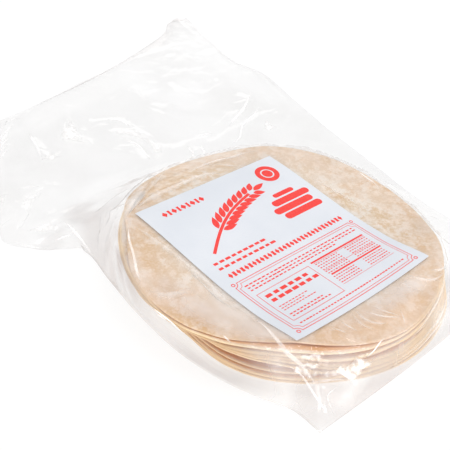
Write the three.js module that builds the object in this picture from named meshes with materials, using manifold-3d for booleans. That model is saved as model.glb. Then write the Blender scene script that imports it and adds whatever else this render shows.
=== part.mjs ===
// A clear film bag of flour tortillas with a paper label, lying flat.
// Millimetres, +Z up. The bag lies on z = 0. The origin is under the middle of the stack.
// +X runs along the label's lines, +Y runs up the label towards the bag's empty tail.
import * as THREE from 'three';
import { mergeVertices } from 'three/addons/utils/BufferGeometryUtils.js';
import Module from 'manifold-3d';

// ---- Driving dimensions ----
const TORTILLA_COUNT = 20;
const TORTILLA_THICKNESS = 1.55;
const STACK_RADIUS = 95; // the film over a 188 mm tortilla
const STACK_HEIGHT = TORTILLA_COUNT * TORTILLA_THICKNESS;
const TAIL_SIDE_RISE = 7.5; // the lid of film climbs towards the tail
const LID_SAG = 1.3; // and dips in the middle of the stack
const RIM_DROOP = 2.2; // the tortillas' rims hang a little
const CORNER_LIFT = 3; // the stiff label holds its lower corners up
const TENT_REACH = 48; // how far out the film comes down from the rim, where it has room
const TENT_FLARE = 1.3; // above 1 the film hugs the stack and flares at its foot
const SEAM_HEIGHT = 1.2; // the two films at the bag's edge
const TAIL_HEIGHT = 3.2; // the two films of the empty tail, with the air between them
const TAIL_EDGE_WIDTH = 14; // the tail thins to the seam over this
const MOUTH_ROLL_HEIGHT = 9; // the broad soft roll along the mouth
const MOUTH_ROLL_WIDTH = 15;
const MOUTH_ROLL_INSET = 24; // from the mouth's edge to the roll's crest
const SIDE_ROLL_HEIGHT = 6; // the roll along the tail's right edge
const SIDE_ROLL_WIDTH = 10;
const SIDE_ROLL_INSET = 20;
const LABEL_WIDTH = 110;
const LABEL_LENGTH = 128;
const LABEL_THICKNESS = 0.4;
const LABEL_GAP = 0.3; // between the film and the label
const LABEL_CENTRE = new THREE.Vector2(-4, -4);

// The bag's two long edges, as pairs of points from the end seam up to the mouth.
const LEFT_EDGE = [
  [-69, -98], [-69, -80], [-77, -61], [-84, -38], [-87, -10], [-85, 26], [-80, 58],
  [-76, 89], [-95, 105], [-108, 122], [-106, 136], [-86, 178], [-64, 220], [-42, 262],
];
const RIGHT_EDGE = [
  [126, -93], [134, -62], [139, -35], [141, -12], [145.5, 12], [152, 38], [159, 66],
  [167, 100], [177, 134], [186, 164], [199, 208], [196, 246], [210, 290], [228, 349],
];
// How far the end seam and the mouth bow out of the straight line between their corners.
const END_SEAM_BOW = -3;
const MOUTH_DIP = 12;
const MOUTH_EAR = 13; // the pulled-out ear beside the mouth's right corner
const MOUTH_EAR_PLACE = 0.93;
const BOW_REACH = 0.14; // the share of the bag's length over which a bow dies out

// ---- Steps of the meshes ----
const ROUND_STEPS = 90;
const LID_RINGS = [0.28, 0.52, 0.72, 0.86, 0.95];
const TENT_RINGS = [0, 0.16, 0.36, 0.6, 0.82, 1];
const BAG_STEPS_ACROSS = 20;
const BAG_STEPS_ALONG = 30;
const LABEL_STEPS_ACROSS = 11;
const LABEL_STEPS_ALONG = 13;

const bagColour = new THREE.MeshStandardMaterial({ color: 0xe9dccf, roughness: 0.25, metalness: 0 });
const labelColour = new THREE.MeshStandardMaterial({ color: 0xe6ebf3, roughness: 0.6, metalness: 0 });

const smoothstep = THREE.MathUtils.smoothstep;
const lerp = THREE.MathUtils.lerp;

// ---- The outline ----
function edgeCurve(points) {
  const corners = points.map(([x, y]) => new THREE.Vector3(x, y, 0));
  return new THREE.CatmullRomCurve3(corners, false, 'catmullrom', 0.5);
}
const leftEdge = edgeCurve(LEFT_EDGE);
const rightEdge = edgeCurve(RIGHT_EDGE);

// A point of the flat bag: u from 0 at the left edge to 1, v from 0 at the end seam to 1.
function bagPoint(u, v) {
  const left = leftEdge.getPoint(v);
  const right = rightEdge.getPoint(v);
  const atSeam = 1 - smoothstep(v, 0, BOW_REACH);
  const atMouth = smoothstep(v, 1 - BOW_REACH, 1);
  const ear = Math.exp(-(((u - MOUTH_EAR_PLACE) / 0.06) ** 2)) * (1 - u ** 12);
  const bow = atSeam * END_SEAM_BOW * Math.sin(Math.PI * u)
    + atMouth * (MOUTH_EAR * ear - MOUTH_DIP * Math.sin(Math.PI * u) * (1 - ear));
  return new THREE.Vector2(lerp(left.x, right.x, u), lerp(left.y, right.y, u) + bow);
}

function bagOutline() {
  const points = [];
  for (let i = 0; i < BAG_STEPS_ACROSS; i += 1) points.push(bagPoint(i / BAG_STEPS_ACROSS, 0));
  for (let j = 0; j < BAG_STEPS_ALONG; j += 1) points.push(bagPoint(1, j / BAG_STEPS_ALONG));
  for (let i = BAG_STEPS_ACROSS; i > 0; i -= 1) points.push(bagPoint(i / BAG_STEPS_ACROSS, 1));
  for (let j = BAG_STEPS_ALONG; j > 0; j -= 1) points.push(bagPoint(0, j / BAG_STEPS_ALONG));
  return points;
}
const outline = bagOutline();

// How far the outline lies from the origin in a direction: the nearest crossing of the ray.
function outlineDistance(angle) {
  const dx = Math.cos(angle);
  const dy = Math.sin(angle);
  let nearest = Infinity;
  outline.forEach((a, i) => {
    const b = outline[(i + 1) % outline.length];
    const ex = b.x - a.x;
    const ey = b.y - a.y;
    const across = dx * ey - dy * ex;
    if (Math.abs(across) < 1e-9) return;
    const along = (a.x * ey - a.y * ex) / across;
    const share = (a.x * dy - a.y * dx) / across;
    if (along > 0 && share >= 0 && share <= 1) nearest = Math.min(nearest, along);
  });
  return nearest;
}

// ---- The film over the stack ----
function lidHeight(x, y) {
  const rise = smoothstep(y, -30, 65) * (1 - 0.55 * smoothstep(y, 70, 96));
  const droop = smoothstep(Math.hypot(x, y), 78, STACK_RADIUS) * (1 - smoothstep(y, 0, 80));
  const sideways = Math.min(1, Math.abs(x - LABEL_CENTRE.x) / (LABEL_WIDTH / 2)) ** 2;
  const lift = CORNER_LIFT * sideways * smoothstep(-y, 38, 70);
  return STACK_HEIGHT - LID_SAG + TAIL_SIDE_RISE * rise - RIM_DROOP * droop * (1 - sideways) + lift;
}

// Rings from the middle of the lid out over the rim and down the film's tent to its foot.
function stackRings() {
  const rings = LID_RINGS.map((share) => (angle) => {
    const x = share * STACK_RADIUS * Math.cos(angle);
    const y = share * STACK_RADIUS * Math.sin(angle);
    return new THREE.Vector3(x, y, lidHeight(x, y));
  });
  TENT_RINGS.forEach((t) => rings.push((angle) => {
    const foot = Math.min(outlineDistance(angle) - 0.5, STACK_RADIUS + TENT_REACH);
    const radius = lerp(STACK_RADIUS, foot, t ** TENT_FLARE);
    const rim = lidHeight(STACK_RADIUS * Math.cos(angle), STACK_RADIUS * Math.sin(angle)) - 1.5;
    return new THREE.Vector3(
      radius * Math.cos(angle), radius * Math.sin(angle), lerp(rim, SEAM_HEIGHT, t));
  }));
  return rings;
}

function stackSolid() {
  const positions = [0, 0, lidHeight(0, 0), 0, 0, 0];
  const faces = [];
  const rings = stackRings();
  const last = rings.length; // the ring on the floor under the tent's foot
  const at = (ring, step) => 2 + ring * ROUND_STEPS + ((step + ROUND_STEPS) % ROUND_STEPS);
  for (let ring = 0; ring <= last; ring += 1) {
    for (let step = 0; step < ROUND_STEPS; step += 1) {
      const angle = (2 * Math.PI * step) / ROUND_STEPS;
      const point = rings[Math.min(ring, last - 1)](angle);
      positions.push(point.x, point.y, ring === last ? 0 : point.z);
    }
  }
  for (let step = 0; step < ROUND_STEPS; step += 1) {
    faces.push(0, at(0, step), at(0, step + 1));
    faces.push(1, at(last, step + 1), at(last, step));
    for (let ring = 0; ring < last; ring += 1) {
      faces.push(at(ring, step), at(ring + 1, step), at(ring + 1, step + 1));
      faces.push(at(ring, step), at(ring + 1, step + 1), at(ring, step + 1));
    }
  }
  return meshOf(positions, faces);
}

// ---- The flat film round the stack and the empty tail ----
function tailHeight(u, v) {
  const here = bagPoint(u, v);
  const toLeft = here.distanceTo(bagPoint(0, v));
  const toRight = here.distanceTo(bagPoint(1, v));
  const toMouth = here.distanceTo(bagPoint(u, 1));
  const toSeam = here.distanceTo(bagPoint(u, 0));
  const inside = smoothstep(Math.min(toLeft, toRight, toMouth, toSeam), 0, TAIL_EDGE_WIDTH);
  const inTail = smoothstep(v, 0.5, 0.68);
  const mouthRoll = Math.exp(-(((toMouth - MOUTH_ROLL_INSET) / MOUTH_ROLL_WIDTH) ** 2))
    * smoothstep(u, 0.02, 0.2) * (1 - smoothstep(u, 0.55, 0.8));
  const sideRoll = Math.exp(-(((toRight - SIDE_ROLL_INSET) / SIDE_ROLL_WIDTH) ** 2))
    * smoothstep(v, 0.62, 0.8);
  return SEAM_HEIGHT + inside * ((TAIL_HEIGHT - SEAM_HEIGHT) * (0.4 + 0.6 * inTail)
    + inTail * (MOUTH_ROLL_HEIGHT * mouthRoll + SIDE_ROLL_HEIGHT * sideRoll));
}

// A slab between a grid of top points and the grid of points below them.
function slab(stepsAcross, stepsAlong, topPoint, bottomPoint) {
  const positions = [];
  const faces = [];
  const row = stepsAcross + 1;
  const below = row * (stepsAlong + 1);
  [topPoint, bottomPoint].forEach((place) => {
    for (let j = 0; j <= stepsAlong; j += 1) {
      for (let i = 0; i <= stepsAcross; i += 1) {
        const point = place(i / stepsAcross, j / stepsAlong);
        positions.push(point.x, point.y, point.z);
      }
    }
  });
  for (let j = 0; j < stepsAlong; j += 1) {
    for (let i = 0; i < stepsAcross; i += 1) {
      const a = j * row + i;
      const b = a + 1;
      const c = b + row;
      const d = a + row;
      faces.push(a, b, c, a, c, d);
      faces.push(below + a, below + c, below + b, below + a, below + d, below + c);
    }
  }
  const wall = (a, b) => faces.push(a, below + a, below + b, a, below + b, b);
  for (let i = 0; i < stepsAcross; i += 1) {
    wall(i, i + 1);
    wall(stepsAlong * row + i + 1, stepsAlong * row + i);
  }
  for (let j = 0; j < stepsAlong; j += 1) {
    wall((j + 1) * row, j * row);
    wall(j * row + stepsAcross, (j + 1) * row + stepsAcross);
  }
  return meshOf(positions, faces);
}

function tailSolid() {
  const raised = (height) => (u, v) => {
    const flat = bagPoint(u, v);
    return new THREE.Vector3(flat.x, flat.y, height(u, v));
  };
  return slab(BAG_STEPS_ACROSS, BAG_STEPS_ALONG, raised(tailHeight), raised(() => 0));
}

// ---- The label, a thin plate that follows the lid of film ----
function labelSolid() {
  const plate = (lift) => (u, v) => {
    const x = LABEL_CENTRE.x + (u - 0.5) * LABEL_WIDTH;
    const y = LABEL_CENTRE.y + (v - 0.5) * LABEL_LENGTH;
    return new THREE.Vector3(x, y, lidHeight(x, y) + lift);
  };
  return slab(LABEL_STEPS_ACROSS, LABEL_STEPS_ALONG,
    plate(LABEL_GAP + LABEL_THICKNESS), plate(LABEL_GAP));
}

// ---- Geometry helpers ----
function meshOf(positions, faces) {
  const geometry = new THREE.BufferGeometry();
  geometry.setAttribute('position', new THREE.Float32BufferAttribute(positions, 3));
  geometry.setIndex(faces);
  return geometry;
}

const wasm = await Module();
wasm.setup();

function toManifold(geometry) {
  const merged = mergeVertices(geometry, 1e-4);
  return new wasm.Manifold(new wasm.Mesh({
    numProp: 3,
    vertProperties: Float32Array.from(merged.attributes.position.array),
    triVerts: Uint32Array.from(merged.index.array),
  }));
}

function fromManifold(solid) {
  const mesh = solid.getMesh();
  return meshOf(Array.from(mesh.vertProperties), Array.from(mesh.triVerts));
}

function named(name, geometry, material) {
  geometry.computeVertexNormals();
  const mesh = new THREE.Mesh(geometry, material);
  mesh.name = name;
  return mesh;
}

const bag = toManifold(stackSolid()).add(toManifold(tailSolid()));
const model = new THREE.Group();
model.add(named('bag', fromManifold(bag), bagColour));
model.add(named('label', labelSolid(), labelColour));

export default model;
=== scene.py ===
# %% [markdown]
# # A clear bag of flour tortillas
# Twenty flour tortillas lie in a stack, shut in a thin clear film bag with a printed paper label.
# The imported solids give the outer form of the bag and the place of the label. Here the bag's solid
# is replaced by what the eye sees: the film, the tortillas inside it, and the label with its print.

# %% Load the frame
import math

import bmesh
import bpy
import numpy as np
from mathutils import Matrix, Vector, noise
from mathutils.bvhtree import BVHTree


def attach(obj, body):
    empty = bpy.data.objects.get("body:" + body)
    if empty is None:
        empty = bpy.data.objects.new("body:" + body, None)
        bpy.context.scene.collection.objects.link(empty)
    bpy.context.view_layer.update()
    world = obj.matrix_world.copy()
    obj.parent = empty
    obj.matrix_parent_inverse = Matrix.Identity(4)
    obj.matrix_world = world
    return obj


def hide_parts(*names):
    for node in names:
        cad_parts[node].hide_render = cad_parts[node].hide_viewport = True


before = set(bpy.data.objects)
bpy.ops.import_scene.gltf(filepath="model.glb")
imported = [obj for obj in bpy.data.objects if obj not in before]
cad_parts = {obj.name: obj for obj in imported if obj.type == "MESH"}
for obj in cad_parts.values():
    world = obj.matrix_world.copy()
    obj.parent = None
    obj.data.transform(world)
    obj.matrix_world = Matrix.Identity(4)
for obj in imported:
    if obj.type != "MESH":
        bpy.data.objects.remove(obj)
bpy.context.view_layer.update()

MM = 0.001  # the sums below are in millimetres, and meshes are in metres

# %% [markdown]
# ## Sizes
# The bag and the label repeat the driving sizes of the solids, so that every piece falls where the
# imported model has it. The origin is on the table under the middle of the stack. +X runs along the
# label's lines and +Y runs up the label, towards the bag's empty tail.

# %% Driving sizes
TORTILLA_COUNT = 20
TORTILLA_RADIUS = 94.0
STACK_RADIUS = 95.0  # the film over the tortillas
STACK_HEIGHT = 31.0
BASE_SHIFT = (9.0, -3.0)  # the lowest tortilla lies this far from the top one
TAIL_SIDE_RISE = 7.5  # the lid climbs this much towards the tail
LID_SAG = 1.3
RIM_DROOP = 2.2
CORNER_LIFT = 3.0  # the film stands up at the label's two front corners
TENT_REACH = 48.0  # the film's foot lies this far out from the stack at most
TENT_FLARE = 1.3  # above 1 the tent is steep at the rim and flares at its foot
SEAM_HEIGHT = 1.2
TAIL_HEIGHT = 3.2
TAIL_SLOPE = 14.0  # the tail reaches its height this far in from its edges
MOUTH_ROLL, SIDE_ROLL = 9.0, 6.0  # the soft rolls along the mouth and the tail's right edge
LABEL_SIZE = (110.0, 128.0)
LABEL_CENTRE = (-4.0, -4.0)

LEFT_EDGE = [
    (-69, -98), (-69, -80), (-77, -61), (-84, -38), (-87, -10), (-85, 26), (-80, 58),
    (-76, 89), (-95, 105), (-108, 122), (-106, 136), (-86, 178), (-64, 220), (-42, 262),
]
RIGHT_EDGE = [
    (126, -93), (134, -62), (139, -35), (141, -12), (145.5, 12), (152, 38), (159, 66),
    (167, 100), (177, 134), (186, 164), (199, 208), (196, 246), (210, 290), (228, 349),
]
END_SEAM_BOW = -3.0  # the sealed end bows out by this much
MOUTH_DIP = 12.0  # the open mouth bows in between its corners
MOUTH_EAR = 13.0  # and one corner of it stands out
MOUTH_EAR_PLACE = 0.93
BOW_REACH = 0.14  # the share of the bag's length that the bows take up


def smoothstep(x, low, high):
    """0 below low, 1 above high, and an S between them."""
    t = np.clip((np.asarray(x, float) - low) / (high - low), 0, 1)
    return t * t * (3 - 2 * t)


def bell(x, centre, width):
    """A bump of height 1 at centre."""
    return np.exp(-(((np.asarray(x, float) - centre) / width) ** 2))


# %% [markdown]
# ## The flat bag
# Laid out flat, the bag is a long rectangle that lies slanted and a little crooked. Its two long
# edges are smooth curves through a few corners. Any place in it is named by two shares, u across
# the bag and v along it, so a grid of steps in u and v becomes the film's mesh.

# %% The flat bag: its outline and a point for each (u, v)
def edge_curve(points, t):
    """Points of a smooth curve through the corners, for t from 0 to 1."""
    p = np.array(points, float)
    p = np.vstack([2 * p[0] - p[1], p, 2 * p[-1] - p[-2]])
    place = np.clip(np.asarray(t, float), 0, 1) * (len(points) - 1)
    i = np.minimum(place.astype(int), len(points) - 2)
    w = (place - i)[..., None]
    a, b, c, d = (p[i + k] for k in range(4))
    return 0.5 * (
        2 * b + (c - a) * w + (2 * a - 5 * b + 4 * c - d) * w**2
        + (3 * b - a - 3 * c + d) * w**3
    )


def bag_point(u, v):
    """Where the flat film lies: u runs from left to right, and v from the end seam to the mouth."""
    left, right = edge_curve(LEFT_EDGE, v), edge_curve(RIGHT_EDGE, v)
    arch = np.sin(np.pi * u)
    ear = bell(u, MOUTH_EAR_PLACE, 0.06) * (1 - u**12)
    bow = (1 - smoothstep(v, 0, BOW_REACH)) * END_SEAM_BOW * arch
    bow = bow + smoothstep(v, 1 - BOW_REACH, 1) * (MOUTH_EAR * ear - MOUTH_DIP * arch * (1 - ear))
    flat = left + (right - left) * u[..., None]
    flat[..., 1] += bow
    return flat


steps = np.linspace(0, 1, 200, endpoint=False)
ones = np.ones_like(steps)
outline = np.vstack([
    bag_point(steps, 0 * ones), bag_point(ones, steps),
    bag_point(1 - steps, ones), bag_point(0 * ones, 1 - steps),
])
print("bag outline:", outline.min(0), outline.max(0))

# %% [markdown]
# From the stack's rim the film comes down to the table as a tent. Its foot lies a tent's reach out
# from the stack, or at the bag's own edge where that is nearer.

# %% How far the film's foot lies from the stack's middle, in each direction
ANGLES = np.linspace(-np.pi, np.pi, 721)


def outline_distance(angle):
    """The nearest crossing of a ray from the origin with the outline."""
    ray = np.array([math.cos(angle), math.sin(angle)])
    start, side = outline, np.roll(outline, -1, 0) - outline
    across = ray[0] * side[:, 1] - ray[1] * side[:, 0]
    across = np.where(np.abs(across) < 1e-9, 1e-9, across)
    along = (start[:, 0] * side[:, 1] - start[:, 1] * side[:, 0]) / across
    share = (start[:, 0] * ray[1] - start[:, 1] * ray[0]) / across
    met = (along > 0) & (share >= 0) & (share <= 1)
    return along[met].min()


foot_table = np.array([min(outline_distance(a) - 0.5, STACK_RADIUS + TENT_REACH) for a in ANGLES])
kernel = np.ones(9) / 9
foot_table = np.minimum(foot_table, np.convolve(np.pad(foot_table, 4, "wrap"), kernel, "valid") + 1)


def foot_distance(x, y):
    return np.interp(np.arctan2(y, x), ANGLES, foot_table)


print("the film's foot:", round(foot_table.min(), 1), "to", round(foot_table.max(), 1), "mm out")

# %% The lid of film over the stack
def lid_height(x, y):
    """The film's height over the stack: it climbs towards the tail and dips in the middle."""
    rise = smoothstep(y, -30, 65) * (1 - 0.55 * smoothstep(y, 70, 96))
    droop = smoothstep(np.hypot(x, y), 78, STACK_RADIUS) * (1 - smoothstep(y, 0, 80))
    sideways = np.minimum(1, np.abs(x - LABEL_CENTRE[0]) / (LABEL_SIZE[0] / 2)) ** 2
    lift = CORNER_LIFT * sideways * smoothstep(-y, 38, 70)
    return (STACK_HEIGHT - LID_SAG + TAIL_SIDE_RISE * rise
            - RIM_DROOP * droop * (1 - sideways) + lift)


print("lid height at the middle:", float(lid_height(np.array(0.0), np.array(0.0))))

# %% [markdown]
# ## The film
# Bag film hardly stretches, so wherever it has a little more length than the form under it, it
# buckles into flat facets with sharp ridges between them. A bump map can't give those ridges an
# outline, and Blender's cloth is slow at this fineness. So the top film is a grid that starts on
# the smooth form, is given a small spare length, and is then settled: each link between two
# neighbours pulls back to its length, again and again, first on a coarse grid and then on finer
# ones. The stack, the table and the label hold it.

# %% The smooth form of the film
def over_stack(x, y):
    """Bends flat points up over the stack: from the foot, over the rim and onto the lid."""
    angle, flat_radius = np.arctan2(y, x), np.hypot(x, y)
    foot = foot_distance(x, y)
    rim = lid_height(STACK_RADIUS * np.cos(angle), STACK_RADIUS * np.sin(angle)) - 1.5
    tent = np.hypot(foot - STACK_RADIUS, rim)
    along = flat_radius / foot * (STACK_RADIUS + tent)
    t = np.clip((along - STACK_RADIUS) / tent, 0, 1)
    radius = np.where(t > 0, STACK_RADIUS + (foot - STACK_RADIUS) * t**TENT_FLARE, along)
    radius = np.where(flat_radius > foot, flat_radius, radius)
    x3, y3 = radius * np.cos(angle), radius * np.sin(angle)
    z = np.where(t > 0, rim + (SEAM_HEIGHT - rim) * t, lid_height(x3, y3))
    return np.stack([x3, y3, np.where(flat_radius > foot, 0, z)], -1)


def even_steps(count):
    """Values of v that lie evenly along the film's middle line, over the stack and down again."""
    t = np.linspace(0, 1, 801)
    middle = bag_point(0.5 + 0 * t, t)
    walked = np.linalg.norm(np.diff(over_stack(middle[:, 0], middle[:, 1]), axis=0), axis=1)
    walked = np.concatenate([[0], np.cumsum(walked)]) / walked.sum()
    return np.interp(np.linspace(0, 1, count), walked, t)


def tail_height(u, v, flat):
    """The two films of the empty tail with air between them, and the soft rolls at its edges."""
    def reach(edge):
        return np.linalg.norm(flat - edge, axis=-1)
    to_left, to_right = reach(bag_point(0 * u, v)), reach(bag_point(0 * u + 1, v))
    to_seam, to_mouth = reach(bag_point(u, 0 * v)), reach(bag_point(u, 0 * v + 1))
    nearest = np.minimum(np.minimum(to_left, to_right), np.minimum(to_seam, to_mouth))
    inside = smoothstep(nearest, 0, TAIL_SLOPE)
    in_tail = smoothstep(v, 0.5, 0.68)
    mouth_roll = bell(to_mouth, 24, 15) * smoothstep(u, 0.02, 0.2) * (1 - smoothstep(u, 0.55, 0.8))
    side_roll = bell(to_right, 20, 10) * smoothstep(v, 0.62, 0.8)
    return SEAM_HEIGHT / 2 + inside * (
        (TAIL_HEIGHT - SEAM_HEIGHT) * (0.4 + 0.6 * in_tail)
        + in_tail * (MOUTH_ROLL * mouth_roll + SIDE_ROLL * side_roll))


def film_form(across, along):
    """The smooth top film as a grid of points, with its flat place and its (u, v)."""
    v, u = np.meshgrid(even_steps(along), np.linspace(0, 1, across), indexing="ij")
    flat = bag_point(u, v)
    form = over_stack(flat[..., 0], flat[..., 1])
    form[..., 2] = np.maximum(form[..., 2], tail_height(u, v, flat))
    return form, flat, u, v


def spread_noise(shape, cell_rows, cell_columns, random):
    """Smooth random values from -1 to 1 over a grid, with one draw at each corner of its cells."""
    rows, columns = cell_rows + 2, cell_columns + 2
    draws = random.uniform(-1, 1, (rows, columns))
    y = np.linspace(0, cell_rows, shape[0])
    x = np.linspace(0, cell_columns, shape[1])
    i, j = np.minimum(y.astype(int), cell_rows), np.minimum(x.astype(int), cell_columns)
    a = ((y - i) ** 2 * (3 - 2 * (y - i)))[:, None]
    b = ((x - j) ** 2 * (3 - 2 * (x - j)))[None, :]
    top = draws[np.ix_(i, j)] * (1 - b) + draws[np.ix_(i, j + 1)] * b
    low = draws[np.ix_(i + 1, j)] * (1 - b) + draws[np.ix_(i + 1, j + 1)] * b
    return top * (1 - a) + low * a


# %% What holds the film: the table, the stack and the label
FLOOR_CLEARANCE = 0.5  # the top film's least height, which leaves room for the lower film
LID_PRESS = 0.5  # how far a slack film may sink below the smooth lid
RIM_ROOM = 0.4  # the film keeps this far off the tortillas' round rims
LIFT_SLOPE = 1.5  # a point further under the lid than this times its depth is pushed out sideways
LABEL_HOLD = 1.0  # the label holds the film this far beyond its own edge


def from_label(form):
    """How far a point lies outside the label's edge."""
    x = np.abs(form[..., 0] - LABEL_CENTRE[0]) - LABEL_SIZE[0] / 2
    y = np.abs(form[..., 1] - LABEL_CENTRE[1]) - LABEL_SIZE[1] / 2
    return np.hypot(np.maximum(x, 0), np.maximum(y, 0)) + np.minimum(np.maximum(x, y), 0)


def held_by_label(form):
    """1 where the label is stuck to the film, and 0 away from it."""
    return (from_label(form) < LABEL_HOLD).astype(float)


def push_out(points):
    """Moves points out of the table and the stack."""
    points[..., 2] = np.maximum(points[..., 2], FLOOR_CLEARANCE)
    lean = 1 - np.clip(points[..., 2] / STACK_HEIGHT, 0, 1)
    x, y = points[..., 0] - BASE_SHIFT[0] * lean, points[..., 1] - BASE_SHIFT[1] * lean
    distance = np.maximum(np.hypot(x, y), 1e-6)
    lid = lid_height(points[..., 0], points[..., 1]) - LID_PRESS
    depth = TORTILLA_RADIUS + RIM_ROOM - distance
    below = lid - points[..., 2]
    inside = (depth > 0) & (below > 0)
    lift = inside & (below <= np.maximum(depth, 0) * LIFT_SLOPE)
    push = inside & ~lift
    points[..., 2] = np.where(lift, lid, points[..., 2])
    points[..., 0] += np.where(push, x / distance * depth, 0)
    points[..., 1] += np.where(push, y / distance * depth, 0)


# %% The settling
LINKS = [(0, 1), (1, 0), (1, 1), (1, -1)]


def link_ends(grid, link, turn):
    """Both ends of every other link of one kind, as views of the grid."""
    down, side = link
    if down == 0:
        return grid[:, turn:-1:2], grid[:, turn + 1::2]
    near, far = grid[turn:-1:2], grid[turn + 1::2]
    if side == 1:
        return near[:, :-1], far[:, 1:]
    if side == -1:
        return near[:, 1:], far[:, :-1]
    return near, far


def settle(points, rest_points, spare, held, turns, smoothing, reach):
    """Pulls every link towards its length, and keeps the film outside what it lies on."""
    free = 1 - held
    sets = []
    for link in LINKS:
        for turn in (0, 1):
            near, far = link_ends(rest_points, link, turn)
            slack_near, slack_far = link_ends(spare, link, turn)
            rest = np.linalg.norm(far - near, axis=-1) * (1 + (slack_near + slack_far) / 2)
            free_near, free_far = link_ends(free, link, turn)
            share = free_near / np.maximum(free_near + free_far, 1e-6)
            other = free_far / np.maximum(free_near + free_far, 1e-6)
            sets.append((link, turn, rest, share[..., None], other[..., None]))
    for _ in range(turns):
        for link, turn, rest, share, other in sets:
            near, far = link_ends(points, link, turn)
            gap = far - near
            length = np.sqrt((gap * gap).sum(-1))
            gap *= (1 - rest / np.maximum(length, 1e-6))[..., None]
            near += gap * share
            far -= gap * other
        middle = (points[2:, 1:-1] + points[:-2, 1:-1] + points[1:-1, 2:] + points[1:-1, :-2]) / 4
        points[1:-1, 1:-1] += (middle - points[1:-1, 1:-1]) * smoothing * free[1:-1, 1:-1, None]
        push_out(points)
        moved = points - rest_points
        far_off = np.maximum(np.linalg.norm(moved, axis=-1), 1e-6)
        points[:] = rest_points + moved * np.minimum(1, reach / far_off)[..., None]
    return points


# %% [markdown]
# Handling leaves creases that the spare length alone doesn't make. Each one is a sharp ridge or
# valley along a short line, and where several cross, the film breaks into flat facets. Some lie
# where this bag has them, such as the folds that run from the label to the front corner, and the
# rest are scattered from a seed. Round the stack the tent gathers into pleats that fan out.

# %% Creases
def ridge(points, line, height, width, sharpness=1.0):
    """A ridge with straight flanks along a line of corners, fading out at both ends."""
    line = np.array(line, float)
    pieces = np.linalg.norm(np.diff(line, axis=0), axis=1)
    total, walked = pieces.sum(), 0.0
    best = np.full(points.shape[:2], 1e9)
    place = np.zeros(points.shape[:2])
    for a, b, length in zip(line[:-1], line[1:], pieces):
        t = np.clip(((points[..., :2] - a) * (b - a)).sum(-1) / length**2, 0, 1)
        nearest = a + t[..., None] * (b - a)
        away = np.hypot(points[..., 0] - nearest[..., 0], points[..., 1] - nearest[..., 1])
        place = np.where(away < best, (walked + t * length) / total, place)
        best = np.minimum(best, away)
        walked += length
    fade = np.sin(np.pi * np.clip(place * 0.94 + 0.03, 0, 1)) ** 0.5
    return height * fade * np.clip(1 - best / width, 0, 1) ** sharpness


TAIL_CREASES = [  # line, height, width
    ([(-28, 230), (-41, 189), (-29, 188)], 1.6, 7), ([(10, 233), (-12, 207), (0, 191)], 2.0, 12),
    ([(-62, 158), (-82, 149), (-98, 128)], 2.2, 9), ([(34, 216), (40, 208), (40, 195)], 1.4, 6),
    ([(23, 197), (38, 186), (39, 172), (39, 159), (29, 147)], 1.8, 7),
    ([(27, 184), (31, 170), (24, 150)], -1.2, 6), ([(108, 216), (120, 207), (100, 184)], 1.8, 12),
    ([(198, 336), (181, 288), (164, 248), (146, 213), (118, 175)], 1.5, 16),
    ([(93, 273), (78, 236), (69, 204)], 1.6, 14), ([(117, 272), (93, 225), (69, 204)], -1.6, 12),
    ([(155, 180), (102, 153), (84, 127)], 1.8, 12), ([(146, 160), (102, 153), (74, 147)], -1.2, 8),
    ([(136, 156), (141, 137), (121, 121)], 1.5, 10), ([(65, 153), (76, 149), (68, 134)], 1.2, 7),
    ([(-73, 169), (-58, 163), (-51, 150), (-55, 135)], 1.3, 8),
    ([(-105, 135), (-94, 143), (-98, 124), (-63, 128)], 2.0, 10),
    ([(-105, 123), (-91, 112), (-76, 104)], 1.6, 8), ([(-63, 128), (-70, 116), (-76, 95)], 2.5, 9),
    ([(-48, 224), (-62, 212)], 1.5, 8), ([(-20, 262), (-42, 236)], 1.5, 7),
    ([(-8, 258), (-30, 244)], -1.4, 6), ([(-30, 252), (-50, 238)], 1.4, 6),
]
LID_CREASES = [
    ([(-69, 54), (-62, 34), (-59, 11), (-63, -22), (-68, -53), (-68, -66)], 0.3, 5),
    ([(-72, 49), (-79, 35), (-90, 14)], 1.4, 4), ([(-63, 50), (-58, 34), (-56, 20)], 0.6, 3),
    ([(-56, 68), (-23, 70), (14, 64)], 0.9, 4), ([(29, -69), (35, -80), (44, -90)], 0.6, 4),
    ([(45, -76), (50, -84)], 0.5, 3), ([(23, -69), (22, -77), (20, -88)], 0.9, 3),
    ([(60, -66), (36, -86), (15, -93)], 0.9, 4), ([(-40, -70), (-33, -84), (-20, -92)], 0.8, 4),
    ([(-8, -70), (-18, -84)], 0.8, 4), ([(56, 20), (80, 6), (92, -12)], 0.8, 5),
    ([(55, 52), (76, 52)], 0.7, 4), ([(52, -20), (74, -34), (84, -46)], 0.8, 5),
    ([(30, 64), (44, 78)], 0.7, 4),
]
TENT_CREASES = [
    ([(-66, -66), (-63, -80), (-60, -96)], 2.2, 6), ([(-60, -84), (-50, -92), (-40, -98)], 1.8, 5),
    ([(-28, -90), (-40, -96)], 1.5, 4), ([(-92, 4), (-86, 30), (-80, 52)], 1.6, 5),
    ([(-84, 60), (-70, 76), (-52, 92), (-10, 108)], 2.4, 9),
    ([(-74, 66), (-58, 84), (-30, 100)], -1.8, 6), ([(-62, 96), (-66, 80), (-76, 74)], 2.2, 7),
]
FACETS = [  # corners of a flat piece of film between creases, which tips away and catches a lamp
    [(10, 233), (-12, 207), (0, 191)], [(-62, 158), (-80, 157), (-98, 128), (-84, 138)],
    [(22, 197), (40, 188), (43, 178), (30, 185)],
    [(38, 180), (44, 168), (40, 154), (29, 147), (34, 165)], [(-84, 174), (-77, 165), (-92, 156)],
    [(-18, 268), (-14, 262), (-40, 240)], [(-28, 262), (-24, 256), (-50, 234)],
    [(-40, 252), (-35, 247), (-56, 226)],
]
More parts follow.
